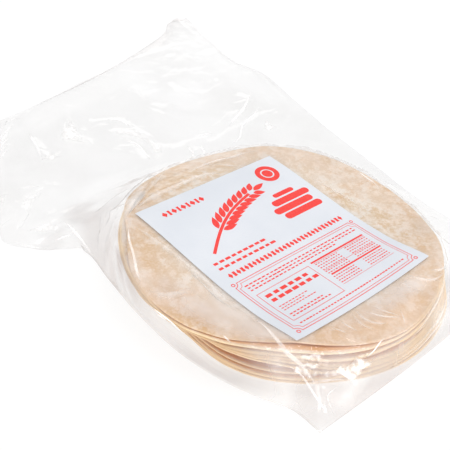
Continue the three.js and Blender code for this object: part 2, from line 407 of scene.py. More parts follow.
FACET_TIP = 0.125  # how steeply a facet tips
FACET_EDGE = (-1.4, 0.6)  # the distances inside its outline between which a facet sets in
SCATTERED_CREASES = 26
PLEATS = 30
film_draws = np.random.default_rng(20)


def facet(points, corners, tip):
    """A flat tipped piece of film inside the corners, with sharp edges."""
    corners = np.array(corners, float)
    middle = corners.mean(0)
    x, y = corners[:, 0], corners[:, 1]
    turn = np.sign((x * np.roll(y, -1) - np.roll(x, -1) * y).sum())
    inside = np.full(points.shape[:2], 1e9)
    for a, b in zip(corners, np.roll(corners, -1, 0)):
        way = (b - a) / np.linalg.norm(b - a)
        away = way[0] * (points[..., 1] - a[1]) - way[1] * (points[..., 0] - a[0])
        inside = np.minimum(inside, away * turn)
    plane = -(points[..., 0] - middle[0] + points[..., 1] - middle[1]) * tip
    return plane * smoothstep(inside, *FACET_EDGE)


def crease_heights(form, flat, v):
    """All creases together, as a height along the film's own normal."""
    draws = np.random.default_rng(31)
    heights = np.zeros(form.shape[:2])
    for line, height, width in TAIL_CREASES + LID_CREASES + TENT_CREASES:
        heights += ridge(form, line, height, width)
    for corners in FACETS:
        heights += facet(form, corners, FACET_TIP)
    for _ in range(SCATTERED_CREASES):
        place = bag_point(np.array(draws.uniform(0.04, 0.96)), np.array(draws.uniform(0.6, 0.98)))
        way, length = draws.uniform(0, np.pi), draws.uniform(14, 70)
        reach = np.array([np.cos(way), np.sin(way)]) * length / 2
        size = draws.choice([-1, 1]) * draws.uniform(0.2, 0.7) * (0.5 + length / 70)
        heights += ridge(form, [place - reach, place + reach], size, draws.uniform(6, 20))
    for number in range(PLEATS):
        angle = 2 * np.pi * (number + draws.uniform(-0.4, 0.4)) / PLEATS
        foot = float(foot_distance(np.cos(angle), np.sin(angle)))
        fan = angle + draws.uniform(-0.14, 0.14)
        line = [(STACK_RADIUS * 0.97 * np.cos(angle), STACK_RADIUS * 0.97 * np.sin(angle)),
                (foot * np.cos(fan), foot * np.sin(fan))]
        size = draws.choice([-1, 1, 1]) * draws.uniform(0.5, 2.0)
        size *= min(1, (foot - STACK_RADIUS) / 25)
        heights += ridge(form, line, size, draws.uniform(3, 8))
    return heights


def normals_of(grid):
    down, side = np.gradient(grid, axis=0), np.gradient(grid, axis=1)
    across = np.cross(side, down)
    return across / np.maximum(np.linalg.norm(across, axis=-1, keepdims=True), 1e-9)


# %% Settle the film on finer and finer grids
LEVELS = [  # points across, points along, turns, smoothing
    (43, 69, 200, 0.05), (85, 137, 100, 0.03), (205, 331, 30, 0.02),
]
TAIL_STARTS = (0.5, 0.7)  # the shares of the bag's length between which its empty tail begins
STACK_SLACK, TAIL_SLACK = 3.0, 8.0  # how far the film may move over the stack and in the tail
FIRST_WAVES = 1.6  # the height of the first broad waves in the tail
FIRST_CREASES = 0.3  # the share of the creases that the film is settled with
LABEL_CALM = (0.8, 4)  # the other creases set in between these distances from the label
EDGE_CALM = (12, 20)  # and fade over one part in so many of the bag's width and length


def spare_length(form, v):
    """The film's spare length as a share: more at the tents and in the tail, less on the lid."""
    on_tent = bell(np.hypot(form[..., 0], form[..., 1]), 112, 22)
    in_tail = smoothstep(v, 0.55, 0.7)
    return 0.003 + 0.014 * on_tent * (1 - in_tail) + 0.004 * in_tail


def finer(grid, rows, columns):
    """The same values on a finer grid."""
    high, wide = grid.shape[:2]
    y, x = np.linspace(0, high - 1, rows), np.linspace(0, wide - 1, columns)
    i, j = np.minimum(y.astype(int), high - 2), np.minimum(x.astype(int), wide - 2)
    a, b = (y - i)[:, None, None], (x - j)[None, :, None]
    top = grid[np.ix_(i, j)] * (1 - b) + grid[np.ix_(i, j + 1)] * b
    low = grid[np.ix_(i + 1, j)] * (1 - b) + grid[np.ix_(i + 1, j + 1)] * b
    return top * (1 - a) + low * a


moved = None
for across, along, turns, smoothing in LEVELS:
    form, flat, u, v = film_form(across, along)
    held = held_by_label(form)
    held[0], held[-1], held[:, 0], held[:, -1] = 1, 1, 1, 1
    start = form.copy()
    if moved is None:
        waves = spread_noise(u.shape, 9, 6, film_draws) * FIRST_WAVES * smoothstep(v, *TAIL_STARTS)
        push = (waves + FIRST_CREASES * crease_heights(form, flat, v)) * (1 - held)
        start += normals_of(form) * push[..., None]
    else:
        start += finer(moved, along, across) * (1 - held)[..., None]
    reach = STACK_SLACK + (TAIL_SLACK - STACK_SLACK) * smoothstep(v, *TAIL_STARTS)
    film = settle(start, form, spare_length(form, v), held, turns, smoothing, reach)
    moved = film - form
    furthest = float(np.linalg.norm(moved, axis=-1).max())
    print("film", film.shape, "moved by up to", round(furthest, 2), "mm")

near_edge = np.minimum(np.minimum(u, 1 - u) * EDGE_CALM[0], np.minimum(v, 1 - v) * EDGE_CALM[1])
creases = crease_heights(form, flat, v) * smoothstep(from_label(form), *LABEL_CALM)
creases *= smoothstep(near_edge, 0, 1)
film += normals_of(film) * creases[..., None]
push_out(film)
print("creases:", round(float(creases.min()), 1), "to", round(float(creases.max()), 1), "mm")

# %% [markdown]
# ## How the film looks from place to place
# Film isn't the same all over. Where it is gathered it scatters light and turns milky, and where it
# is drawn tight against the stack's side it is clear. Where it lies double in the stack's shade, and
# where the stack's shadow falls behind it, that shade is painted into its colour as grey. A texture
# can't know those places, so they are set down here as soft ellipses, rings and arcs on the bag, and
# kept as values at the film's points for its material to read.

# %% Soft places on the film
def turned_from(middle, x, y):
    """How many degrees round the stack a place lies from a direction."""
    return (np.degrees(np.arctan2(y, x)) - middle + 180) % 360 - 180


def soft_places(form, places, full, end):
    """The sum of soft ellipses, each with its middle, its reach and its strength."""
    total = np.zeros(form.shape[:2])
    for middle, reach, strength in places:
        x, y = (form[..., 0] - middle[0]) / reach[0], (form[..., 1] - middle[1]) / reach[1]
        away = np.hypot(x, y)
        total += strength * (1 - smoothstep(away, full, end))
    return total


# %% Where the film is drawn tight
TIGHT_ARCS = (  # direction, full and fading reach in degrees, how far out it ends, strength
    (-160, 6, 24, 99, 0.9), (-130, 8, 26, 93.5, 0.6), (-78, 8, 24, 200, 0.55),
)
TIGHT_STARTS = (86, 92)  # the distances from the middle between which it sets in
ARC_FADE = 3
LESS_MILK, LESS_VEIL = 0.9, 0.6  # the shares that tight film loses of each


def tight_film(form):
    """How tight the film is drawn against the stack's side: tight film is clear."""
    far_out = np.hypot(form[..., 0], form[..., 1])
    tight = np.zeros(far_out.shape)
    for middle, full, fading, end, strength in TIGHT_ARCS:
        turned = np.abs(turned_from(middle, form[..., 0], form[..., 1]))
        arc = 1 - smoothstep(turned, full, fading)
        arc *= 1 - smoothstep(far_out, end, end + ARC_FADE)
        tight = np.maximum(tight, strength * arc)
    return tight * smoothstep(far_out, *TIGHT_STARTS)


tight = tight_film(form)
print("tight film:", round(float((tight > 0.1).mean() * 100), 1), "% of the points")

# %% Where the film is milky
TENT_MILK = 0.12  # the gathered film at the bag's closed end
LABEL_MILK_AND_PAINTED_LIGHT = 0.10  # the film that the label's left edge pulls on; partly painted light that pales the label's shade
EDGE_PAINTED_LIGHT = 0.10  # painted light close round the label, which pales the label's shadow on the film
RIM_MILK = 0.07  # where the film is stretched over the stack's rim
RIM_RING = (97, 7)  # radius and width of that rim
MILK_FADE = (0.2, 1.4)  # the shares of its reach between which a milky place fades
MILKY_PLACES = [  # middle, reach, strength: gathered film at the sealed corner and round the stack; at the sealed corner its white also stands for the lamps' glare, a painted highlight
    ((-30, -96), (14, 7), 0.22), ((-46, -95), (10, 6), 0.16), ((-10, -98), (20, 5), 0.14),
    ((-60, -72), (14, 10), 0.16), ((-90, -8), (5, 12), 0.12), ((-76, 62), (10, 12), 0.16),
    ((40, -92), (24, 6), 0.14), ((-20, 100), (44, 10), 0.12), ((-72, -24), (13, 44), 0.22),
    ((-4, -75), (36, 7), 0.3), ((-80, -12), (10, 24), 0.17), ((-62, -60), (14, 14), 0.07),
    ((30, -78), (14, 8), 0.22), ((6, -97), (34, 7), 0.2), ((36, -92), (14, 7), 0.2),
    ((62, -78), (30, 14), 0.12), ((70, -50), (24, 24), 0.08), ((-48, -86), (18, 8), 0.34),
    ((-90, 24), (7, 36), 0.16), ((-78, 50), (9, 14), 0.14),
]


def film_milk(form, tight):
    """How much light the creased film scatters, over what smooth film does, with painted light round
    the label.
    """
    far_out = np.hypot(form[..., 0], form[..., 1])
    rim = bell(far_out, *RIM_RING) * (1 - 0.4 * smoothstep(form[..., 1], 20, 80))
    front = smoothstep(-form[..., 1] - 0.25 * form[..., 0], 38, 74)
    tent = smoothstep(far_out, 92, 101) * front
    beside_label = bell(from_label(form), 6, 5) * smoothstep(-form[..., 0], 50, 58)
    milk = RIM_MILK * rim + TENT_MILK * tent + soft_places(form, MILKY_PLACES, *MILK_FADE)
    milk += LABEL_MILK_AND_PAINTED_LIGHT * beside_label + EDGE_PAINTED_LIGHT * bell(from_label(form), 1.0, 2.2)
    return np.maximum(milk * (1 - LESS_MILK * tight), 0)


# %% Where the film's veil is thicker or thinner
VEIL_WAVES = 0.30
VEIL_LIMITS = (0.15, 3.0)
VEIL_FADE = (0.3, 1.3)
THICK_PLACES = [  # middle, reach, strength: where films lie close and darken the veil; most also carry the painted shade below
    ((138, 236), (24, 40), 0.1), ((135, 180), (22, 34), 0.6), ((-64, 102), (10, 24), 0.8),
    ((-52, 124), (14, 12), 1.0), ((-96, 24), (9, 46), 0.5), ((-78, 58), (8, 16), 0.6),
    ((-88.5, 43), (4, 17), 1.8), ((-72, 84), (8, 14), 0.7), ((30, -102), (26, 9), 0.6),
    ((-30, 110), (34, 16), 0.8), ((-82, 108), (12, 12), 0.5), ((-60, -88), (16, 13), 0.45),
    ((-28, -99), (34, 5), 0.6), ((-34, 200), (26, 40), 0.3), ((205, 330), (12, 26), 0.5),
    ((20, 282), (60, 5), 0.5),
]
THIN_PLACES = [  # middle, reach, strength: where air between the films makes it paler
    ((92, 244), (16, 34), 0.7), ((104, 206), (12, 20), 0.7), ((128, 226), (10, 16), 0.6),
    ((176, 262), (14, 60), 0.7), ((10, 262), (56, 12), 0.6), ((170, 180), (14, 50), 0.5),
    ((-22, 140), (26, 10), 0.6), ((126, 228), (50, 60), 0.35),
]


def film_veil(form, v, tight):
    """How strong the film's veil is: 1 is the film's usual one."""
    draws = np.random.default_rng(44)
    veil = 1 + VEIL_WAVES * spread_noise(v.shape, 11, 8, draws) * smoothstep(v, 0.5, 0.65)
    veil += soft_places(form, THICK_PLACES, *VEIL_FADE) - soft_places(form, THIN_PLACES, *VEIL_FADE)
    return np.clip(veil * (1 - LESS_VEIL * tight), *VEIL_LIMITS)


# %% Where shade is painted on the film as grey
MOUTH_SHADE = 0.5  # painted shade along the rolled edge of the open mouth
TENT_SHADE = 0.05  # painted shade on the tent at the closed end
SHADE_FADE = (0.4, 1.25)
SHADED_PLACES = [  # middle, reach, strength: painted shade on doubled film in the stack's own shade
    ((-64, 102), (10, 26), 0.75), ((-54, 124), (9, 12), 0.6), ((-52, 84), (24, 11), 1.0),
    ((-72, 72), (8, 10), 0.9), ((-80, 58), (9, 18), 0.7), ((-88.5, 43), (4, 17), 1.0),
    ((-4, -76), (38, 8), 0.35), ((-66, -24), (10, 40), 0.15), ((-80, -12), (10, 24), 0.3),
    ((-72, 84), (9, 16), 0.5), ((-95, 36), (6, 24), 0.8), ((-98, 22), (8, 44), 0.3),
    ((-60, -88), (16, 13), 0.35), ((-28, -99), (34, 5), 0.5), ((-90, 106), (14, 7), 0.5),
    ((-100, 126), (6, 12), 0.35), ((-20, 104), (30, 8), 0.5), ((-60, 180), (40, 60), 0.12),
]


def film_shade(form, v):
    """How far the film's colour turns to grey, as painted shade."""
    far_out = np.hypot(form[..., 0], form[..., 1])
    front = smoothstep(-form[..., 1] - 0.5 * form[..., 0], -10, 60)
    shade = MOUTH_SHADE * smoothstep(v, 0.955, 0.99)
    shade += TENT_SHADE * front * smoothstep(far_out, 93, 99)
    return np.clip(shade + soft_places(form, SHADED_PLACES, *SHADE_FADE), 0, 1)


milk, veil, shade = film_milk(form, tight), film_veil(form, v, tight), film_shade(form, v)
for name, values in (("milk", milk), ("veil", veil), ("shade", shade)):
    print(name, "from", round(float(values.min()), 2), "to", round(float(values.max()), 2))

# %% Helpers for meshes
SHARP_ANGLE = math.radians(65)  # a seam or a cut edge that turns more than this stays sharp


def mesh_piece(name, points, faces, material, slot, node, smooth=True):
    """A piece from points in millimetres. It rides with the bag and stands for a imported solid."""
    mesh = bpy.data.meshes.new(name)
    mesh.from_pydata((np.asarray(points, float).reshape(-1, 3) * MM).tolist(), [], faces)
    mesh.materials.append(material)
    mesh.polygons.foreach_set("use_smooth", [smooth] * len(mesh.polygons))
    mesh.update()
    if smooth:
        mesh.set_sharp_from_angle(angle=SHARP_ANGLE)
    piece = bpy.data.objects.new(name, mesh)
    bpy.context.scene.collection.objects.link(piece)
    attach(piece, "root")
    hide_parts(node)
    return piece


def grid_faces(rows, columns, first=0, around=False):
    """Quads of a grid of points, facing up where rows run along +Y and columns along +X."""
    last = columns if around else columns - 1
    index = first + np.arange(rows * columns).reshape(rows, columns)
    side = np.roll(index, -1, 1)
    quads = np.stack([index[:-1], side[:-1], side[1:], index[1:]], -1)[:, :last]
    return quads.reshape(-1, 4).tolist()


def closed_faces(rows, columns, turned=False):
    """Faces of two grids of points, one under the other, with a wall round their outline."""
    count = rows * columns
    index = np.arange(count).reshape(rows, columns)
    outline = np.concatenate([index[0], index[1:, -1], index[-1, -2::-1], index[-2:0:-1, 0]])
    upper = grid_faces(rows, columns)
    if turned:  # where rows and columns run the other way round
        upper, outline = [quad[::-1] for quad in upper], outline[::-1]
    lower = [[i + count for i in quad[::-1]] for quad in upper]
    wall = [[int(a), int(a) + count, int(b) + count, int(b)]
            for a, b in zip(outline, np.roll(outline, -1))]
    return upper + lower + wall


def set_shares(piece, name, values):
    """Keeps a value at each point of a piece for its material."""
    kept = piece.data.attributes.new(name, "FLOAT", "POINT")
    kept.data.foreach_set("value", np.asarray(values, np.float32).ravel())


def set_film_shares(piece, milk, veil=1.0, shade=0.0):
    """Keeps how milky, veiled and grey the film is at each point."""
    for name, values in (("milk", milk), ("veil", veil), ("shade", shade)):
        set_shares(piece, name, np.broadcast_to(values, np.shape(milk)))


# %% [markdown]
# ## Nodes
# Materials and shapes are small trees of nodes. One helper adds a node and joins it up: a socket
# given as a value is linked, and anything else is set on the node's own input.

# %% Helpers for nodes
def feed(tree, socket, given):
    """Links a socket to another one, or sets its own value."""
    if isinstance(given, bpy.types.NodeSocket):
        tree.links.new(given, socket)
    else:
        socket.default_value = given


def node(tree, kind, inputs=None, **settings):
    """A new node with its settings and inputs."""
    made = tree.nodes.new(kind)
    for name, value in settings.items():
        setattr(made, name, value)
    for name, value in (inputs or {}).items():
        feed(tree, made.inputs[name], value)
    return made


def math_node(tree, operation, *values):
    made = node(tree, "ShaderNodeMath", dict(enumerate(values)), operation=operation)
    return made.outputs[0]


def remap(tree, value, low, high, new_low, new_high, kind="SMOOTHSTEP"):
    """Turns low..high into new_low..new_high, and stops at both ends."""
    given = dict(enumerate((value, low, high, new_low, new_high)))
    return node(tree, "ShaderNodeMapRange", given, interpolation_type=kind).outputs[0]


def noise_at(tree, place, scale, detail, seed=None, **more):
    """Noise from 0 to 1 at a place. A seed moves it along a fourth axis."""
    inputs = {"Vector": place, "Scale": scale, "Detail": detail, **more}
    if seed is not None:
        inputs["W"] = seed
    made = node(tree, "ShaderNodeTexNoise", inputs, noise_dimensions="3D" if seed is None else "4D")
    return made.outputs["Fac"]


def own_place(tree):
    return node(tree, "ShaderNodeTexCoord").outputs["Object"]


def kept_value(tree, name):
    """A value that is kept at the piece's points."""
    return node(tree, "ShaderNodeAttribute", attribute_name=name).outputs["Fac"]


# %% Colours and materials
def mix_colour(tree, share, first, second):
    """The first colour where share is 0, and the second where it is 1."""
    made = node(tree, "ShaderNodeMix", data_type="RGBA", clamp_factor=True)
    for place, given in ((0, share), (6, first), (7, second)):
        feed(tree, made.inputs[place], given)
    return made.outputs[2]


def linear(red, green, blue):
    """A screen colour of 0-255 as the linear colour that a node takes."""
    return tuple(
        (c / 12.92 if c <= 0.04045 else ((c + 0.055) / 1.055) ** 2.4)
        for c in (red / 255, green / 255, blue / 255)
    ) + (1.0,)


def new_material(name, **constants):
    """A material with one Principled BSDF, its constants set on the shader's own sockets."""
    material = bpy.data.materials.new(name)
    material.use_nodes = True
    tree = material.node_tree
    shader = tree.nodes["Principled BSDF"]
    for socket, value in constants.items():
        shader.inputs[socket.replace("_", " ")].default_value = value
    return material, tree, shader


# %% [markdown]
# ## Clear film
# Film this thin bends no light, so glass with refraction would be wrong and slow. It is a mirror
# for a small share of the light and lets the rest pass: the share is the alpha. It grows at a
# glancing angle, which draws every fold with a milky line, and the mirror in it catches the lamps.

# %% Film wrinkles: a shared group
def film_wrinkle_group():
    """Wrinkles with sharp ridges as a height, and soft clouds of haze."""
    group = bpy.data.node_groups.new("film_wrinkles", "ShaderNodeTree")
    for way, names in (("INPUT", ("Size", "Seed")), ("OUTPUT", ("Height", "Haze"))):
        for name in names:
            group.interface.new_socket(name, in_out=way, socket_type="NodeSocketFloat")
    given = node(group, "NodeGroupInput").outputs
    place = own_place(group)
    size, seed = given["Size"], given["Seed"]
    waves = noise_at(group, place, size, 1.0, seed, Distortion=0.6)
    ridged = math_node(group, "ABSOLUTE", math_node(group, "SUBTRACT", waves, 0.5))
    fine = noise_at(group, place, math_node(group, "MULTIPLY", size, 4.3), 2.0, seed)
    clouds = noise_at(group, place, math_node(group, "MULTIPLY", size, 0.7), 3.0, 7.0)
    height = math_node(group, "ADD", remap(group, ridged, 0.0, 0.22, 0.0, 1.0, "LINEAR"),
                       math_node(group, "MULTIPLY", fine, 0.12))
    out = node(group, "NodeGroupOutput").inputs
    feed(group, out["Height"], height)
    feed(group, out["Haze"], remap(group, clouds, 0.35, 0.75, 0.0, 1.0))
    return group


film_wrinkles = film_wrinkle_group()
print("group:", film_wrinkles.name, "with", len(film_wrinkles.nodes), "nodes")

# %% Film material
FILM_GREY, FILM_WHITE = (0.86, 0.84, 0.82, 1), (0.98, 0.965, 0.95, 1)  # smooth film, milky film
# the grey that painted shade turns the film to
SHADED_FILM = linear(168, 148, 140)
NO_PAINTED_GLOW, WHITE_PAINTED_GLOW = (0, 0, 0, 1), (1, 0.98, 0.96, 1)
FULL_MILK = 0.3  # from here on, milky film has its whole colour and painted glow
MIRROR_GONE, MILKY_MIRROR = 0.4, 0.05  # very milky film hardly mirrors
HAZE_SHARE = 0.045
MILK_PAINTED_GLOW, FOLD_PAINTED_GLOW = 0.12, 0.24  # painted glow: milky film gives off light of its own, standing for light from the white table under it


def film_material(name, least, most, mirror, painted_glow, wrinkle, size):
    """Film whose veil grows from least to most as the surface turns away from the eye."""
    material, tree, shader = new_material(name, IOR=1.45, Emission_Strength=painted_glow)
    texture = node(tree, "ShaderNodeGroup", node_tree=film_wrinkles)
    texture.inputs["Size"].default_value = size
    texture.inputs["Seed"].default_value = 3.0
    bump = node(tree, "ShaderNodeBump", {
        "Height": texture.outputs["Height"], "Strength": 1.0, "Distance": wrinkle,
    }).outputs[0]
    clouds = texture.outputs["Haze"]
    milk, veil, shade = (kept_value(tree, value) for value in ("milk", "veil", "shade"))
    milky = remap(tree, milk, 0.0, FULL_MILK, 0.0, 1.0, "LINEAR")

    colour = mix_colour(tree, milky, FILM_GREY, FILM_WHITE)
    # painted shade: the shade share turns the film's colour grey
    colour = mix_colour(tree, shade, colour, SHADED_FILM)
    feed(tree, shader.inputs["Base Color"], colour)
    # painted glow: milky film gives off light of its own, which whitens it like a glint
    feed(tree, shader.inputs["Emission Color"], mix_colour(tree, milky, NO_PAINTED_GLOW, WHITE_PAINTED_GLOW))

    edge = node(tree, "ShaderNodeLayerWeight", {"Blend": 0.5, "Normal": bump}).outputs["Facing"]
    steep = math_node(tree, "POWER", edge, 3.0)
    alpha = math_node(tree, "ADD", remap(tree, steep, 0.0, 1.0, least, most, "LINEAR"),
                      math_node(tree, "MULTIPLY", clouds, HAZE_SHARE))
    uneven = remap(tree, clouds, 0.2, 0.8, 0.6, 1.4, "LINEAR")
    uneven_milk = math_node(tree, "MULTIPLY", milk, uneven)
    alpha = math_node(tree, "ADD", math_node(tree, "MULTIPLY", alpha, veil), uneven_milk)
    feed(tree, shader.inputs["Alpha"], alpha)

    feed(tree, shader.inputs["Metallic"],
         remap(tree, milk, 0.0, MIRROR_GONE, mirror, MILKY_MIRROR, "LINEAR"))
    feed(tree, shader.inputs["Roughness"], remap(tree, clouds, 0.0, 1.0, 0.07, 0.16, "LINEAR"))
    feed(tree, shader.inputs["Normal"], bump)
    return material


clear_film = film_material("clear_film", 0.10, 0.24, 0.48, MILK_PAINTED_GLOW, 0.0004, 36.0)
# folded film has the stronger painted glow, which whitens its folds and patches
folded_film = film_material("folded_film", 0.0, 0.05, 0.12, FOLD_PAINTED_GLOW, 0.0003, 60.0)
print("materials:", clear_film.name, "and", folded_film.name)

# %% [markdown]
# A bag is two films that are sealed at three sides. Here they are one closed shell, so that the bag
# is a true solid: the settled upper film, and a lower film on the table with a quarter of the
# points. A contact shadow is painted on the lower one, as a grey ring with a thicker veil where it
# touches the lowest tortilla.

# %% The film as one closed shell: the settled upper film and the lower film on the table
LOWER_FILM = 0.2
LOWER_WAVES, LOWER_CELLS = 0.12, (60, 40)  # the lower film's small waves
CONTACT_RING = (96, 7)  # radius and width of the painted contact shadow round the lowest tortilla
# how grey, and how much thicker than its usual veil, the painted contact shadow makes the lower film
CONTACT_SHADE = 0.9
LOWER_VEIL, CONTACT_VEIL = 0.8, 1.6


def film_shell(film, flat):
    """The upper film, and a lower film of half as many rows and columns, joined at the outline."""
    rows, columns = film.shape[:2]
    index = np.arange(rows * columns).reshape(rows, columns)
    lower = np.concatenate([flat, np.zeros_like(flat[..., :1])], -1)[::2, ::2]
    waves = spread_noise(lower.shape[:2], *LOWER_CELLS, film_draws)
    lower[..., 2] = LOWER_FILM + LOWER_WAVES * waves
    under = rows * columns + np.arange(lower[..., 0].size).reshape(lower.shape[:2])
    for edge in (np.s_[0, :], np.s_[-1, :], np.s_[:, 0], np.s_[:, -1]):
        under[edge] = index[::2, ::2][edge]
    faces = grid_faces(rows, columns)
    last_row, last_column = under.shape[0] - 2, under.shape[1] - 2
    for i in range(last_row + 1):
        for j in range(last_column + 1):
            corners = [under[i, j]]
            if j == 0:
                corners.append(index[2 * i + 1, 0])
            corners.append(under[i + 1, j])
            if i == last_row:
                corners.append(index[-1, 2 * j + 1])
            corners.append(under[i + 1, j + 1])
            if j == last_column:
                corners.append(index[2 * i + 1, -1])
            corners.append(under[i, j + 1])
            if i == 0:
                corners.append(index[0, 2 * j + 1])
            faces.append([int(c) for c in corners])
    points = np.concatenate([film.reshape(-1, 3), lower.reshape(-1, 3)])
    used = np.zeros(len(points), int)
    used[index.ravel()] = 1
    used[under.ravel()] = 1
    renumber = np.cumsum(used) - 1
    return points[used > 0], [[int(renumber[c]) for c in face] for face in faces]


shell_points, shell_faces = film_shell(film, flat)
film_piece = mesh_piece("film", shell_points, shell_faces, clear_film, "film", "bag")
lower_points = shell_points[v.size:]
contact = bell(np.hypot(*(lower_points[:, :2] - BASE_SHIFT).T), *CONTACT_RING)
set_film_shares(
    film_piece,
    np.concatenate([milk.ravel(), np.zeros(len(contact))]),
    np.concatenate([veil.ravel(), LOWER_VEIL + CONTACT_VEIL * contact]),
    np.concatenate([shade.ravel(), CONTACT_SHADE * contact]))
print("film:", sum(len(face) - 2 for face in shell_faces), "triangles")

# %% [markdown]
# Where the film is folded over, three layers lie on each other, and the fold shows as a milky band
# with one crisp edge. Each fold is its own thin strip, laid along a smooth line on the film. The
# thin crisp strips with much milk are painted highlights, for the glints along the film's sharp
# bends, and the folded film's painted glow whitens every fold.

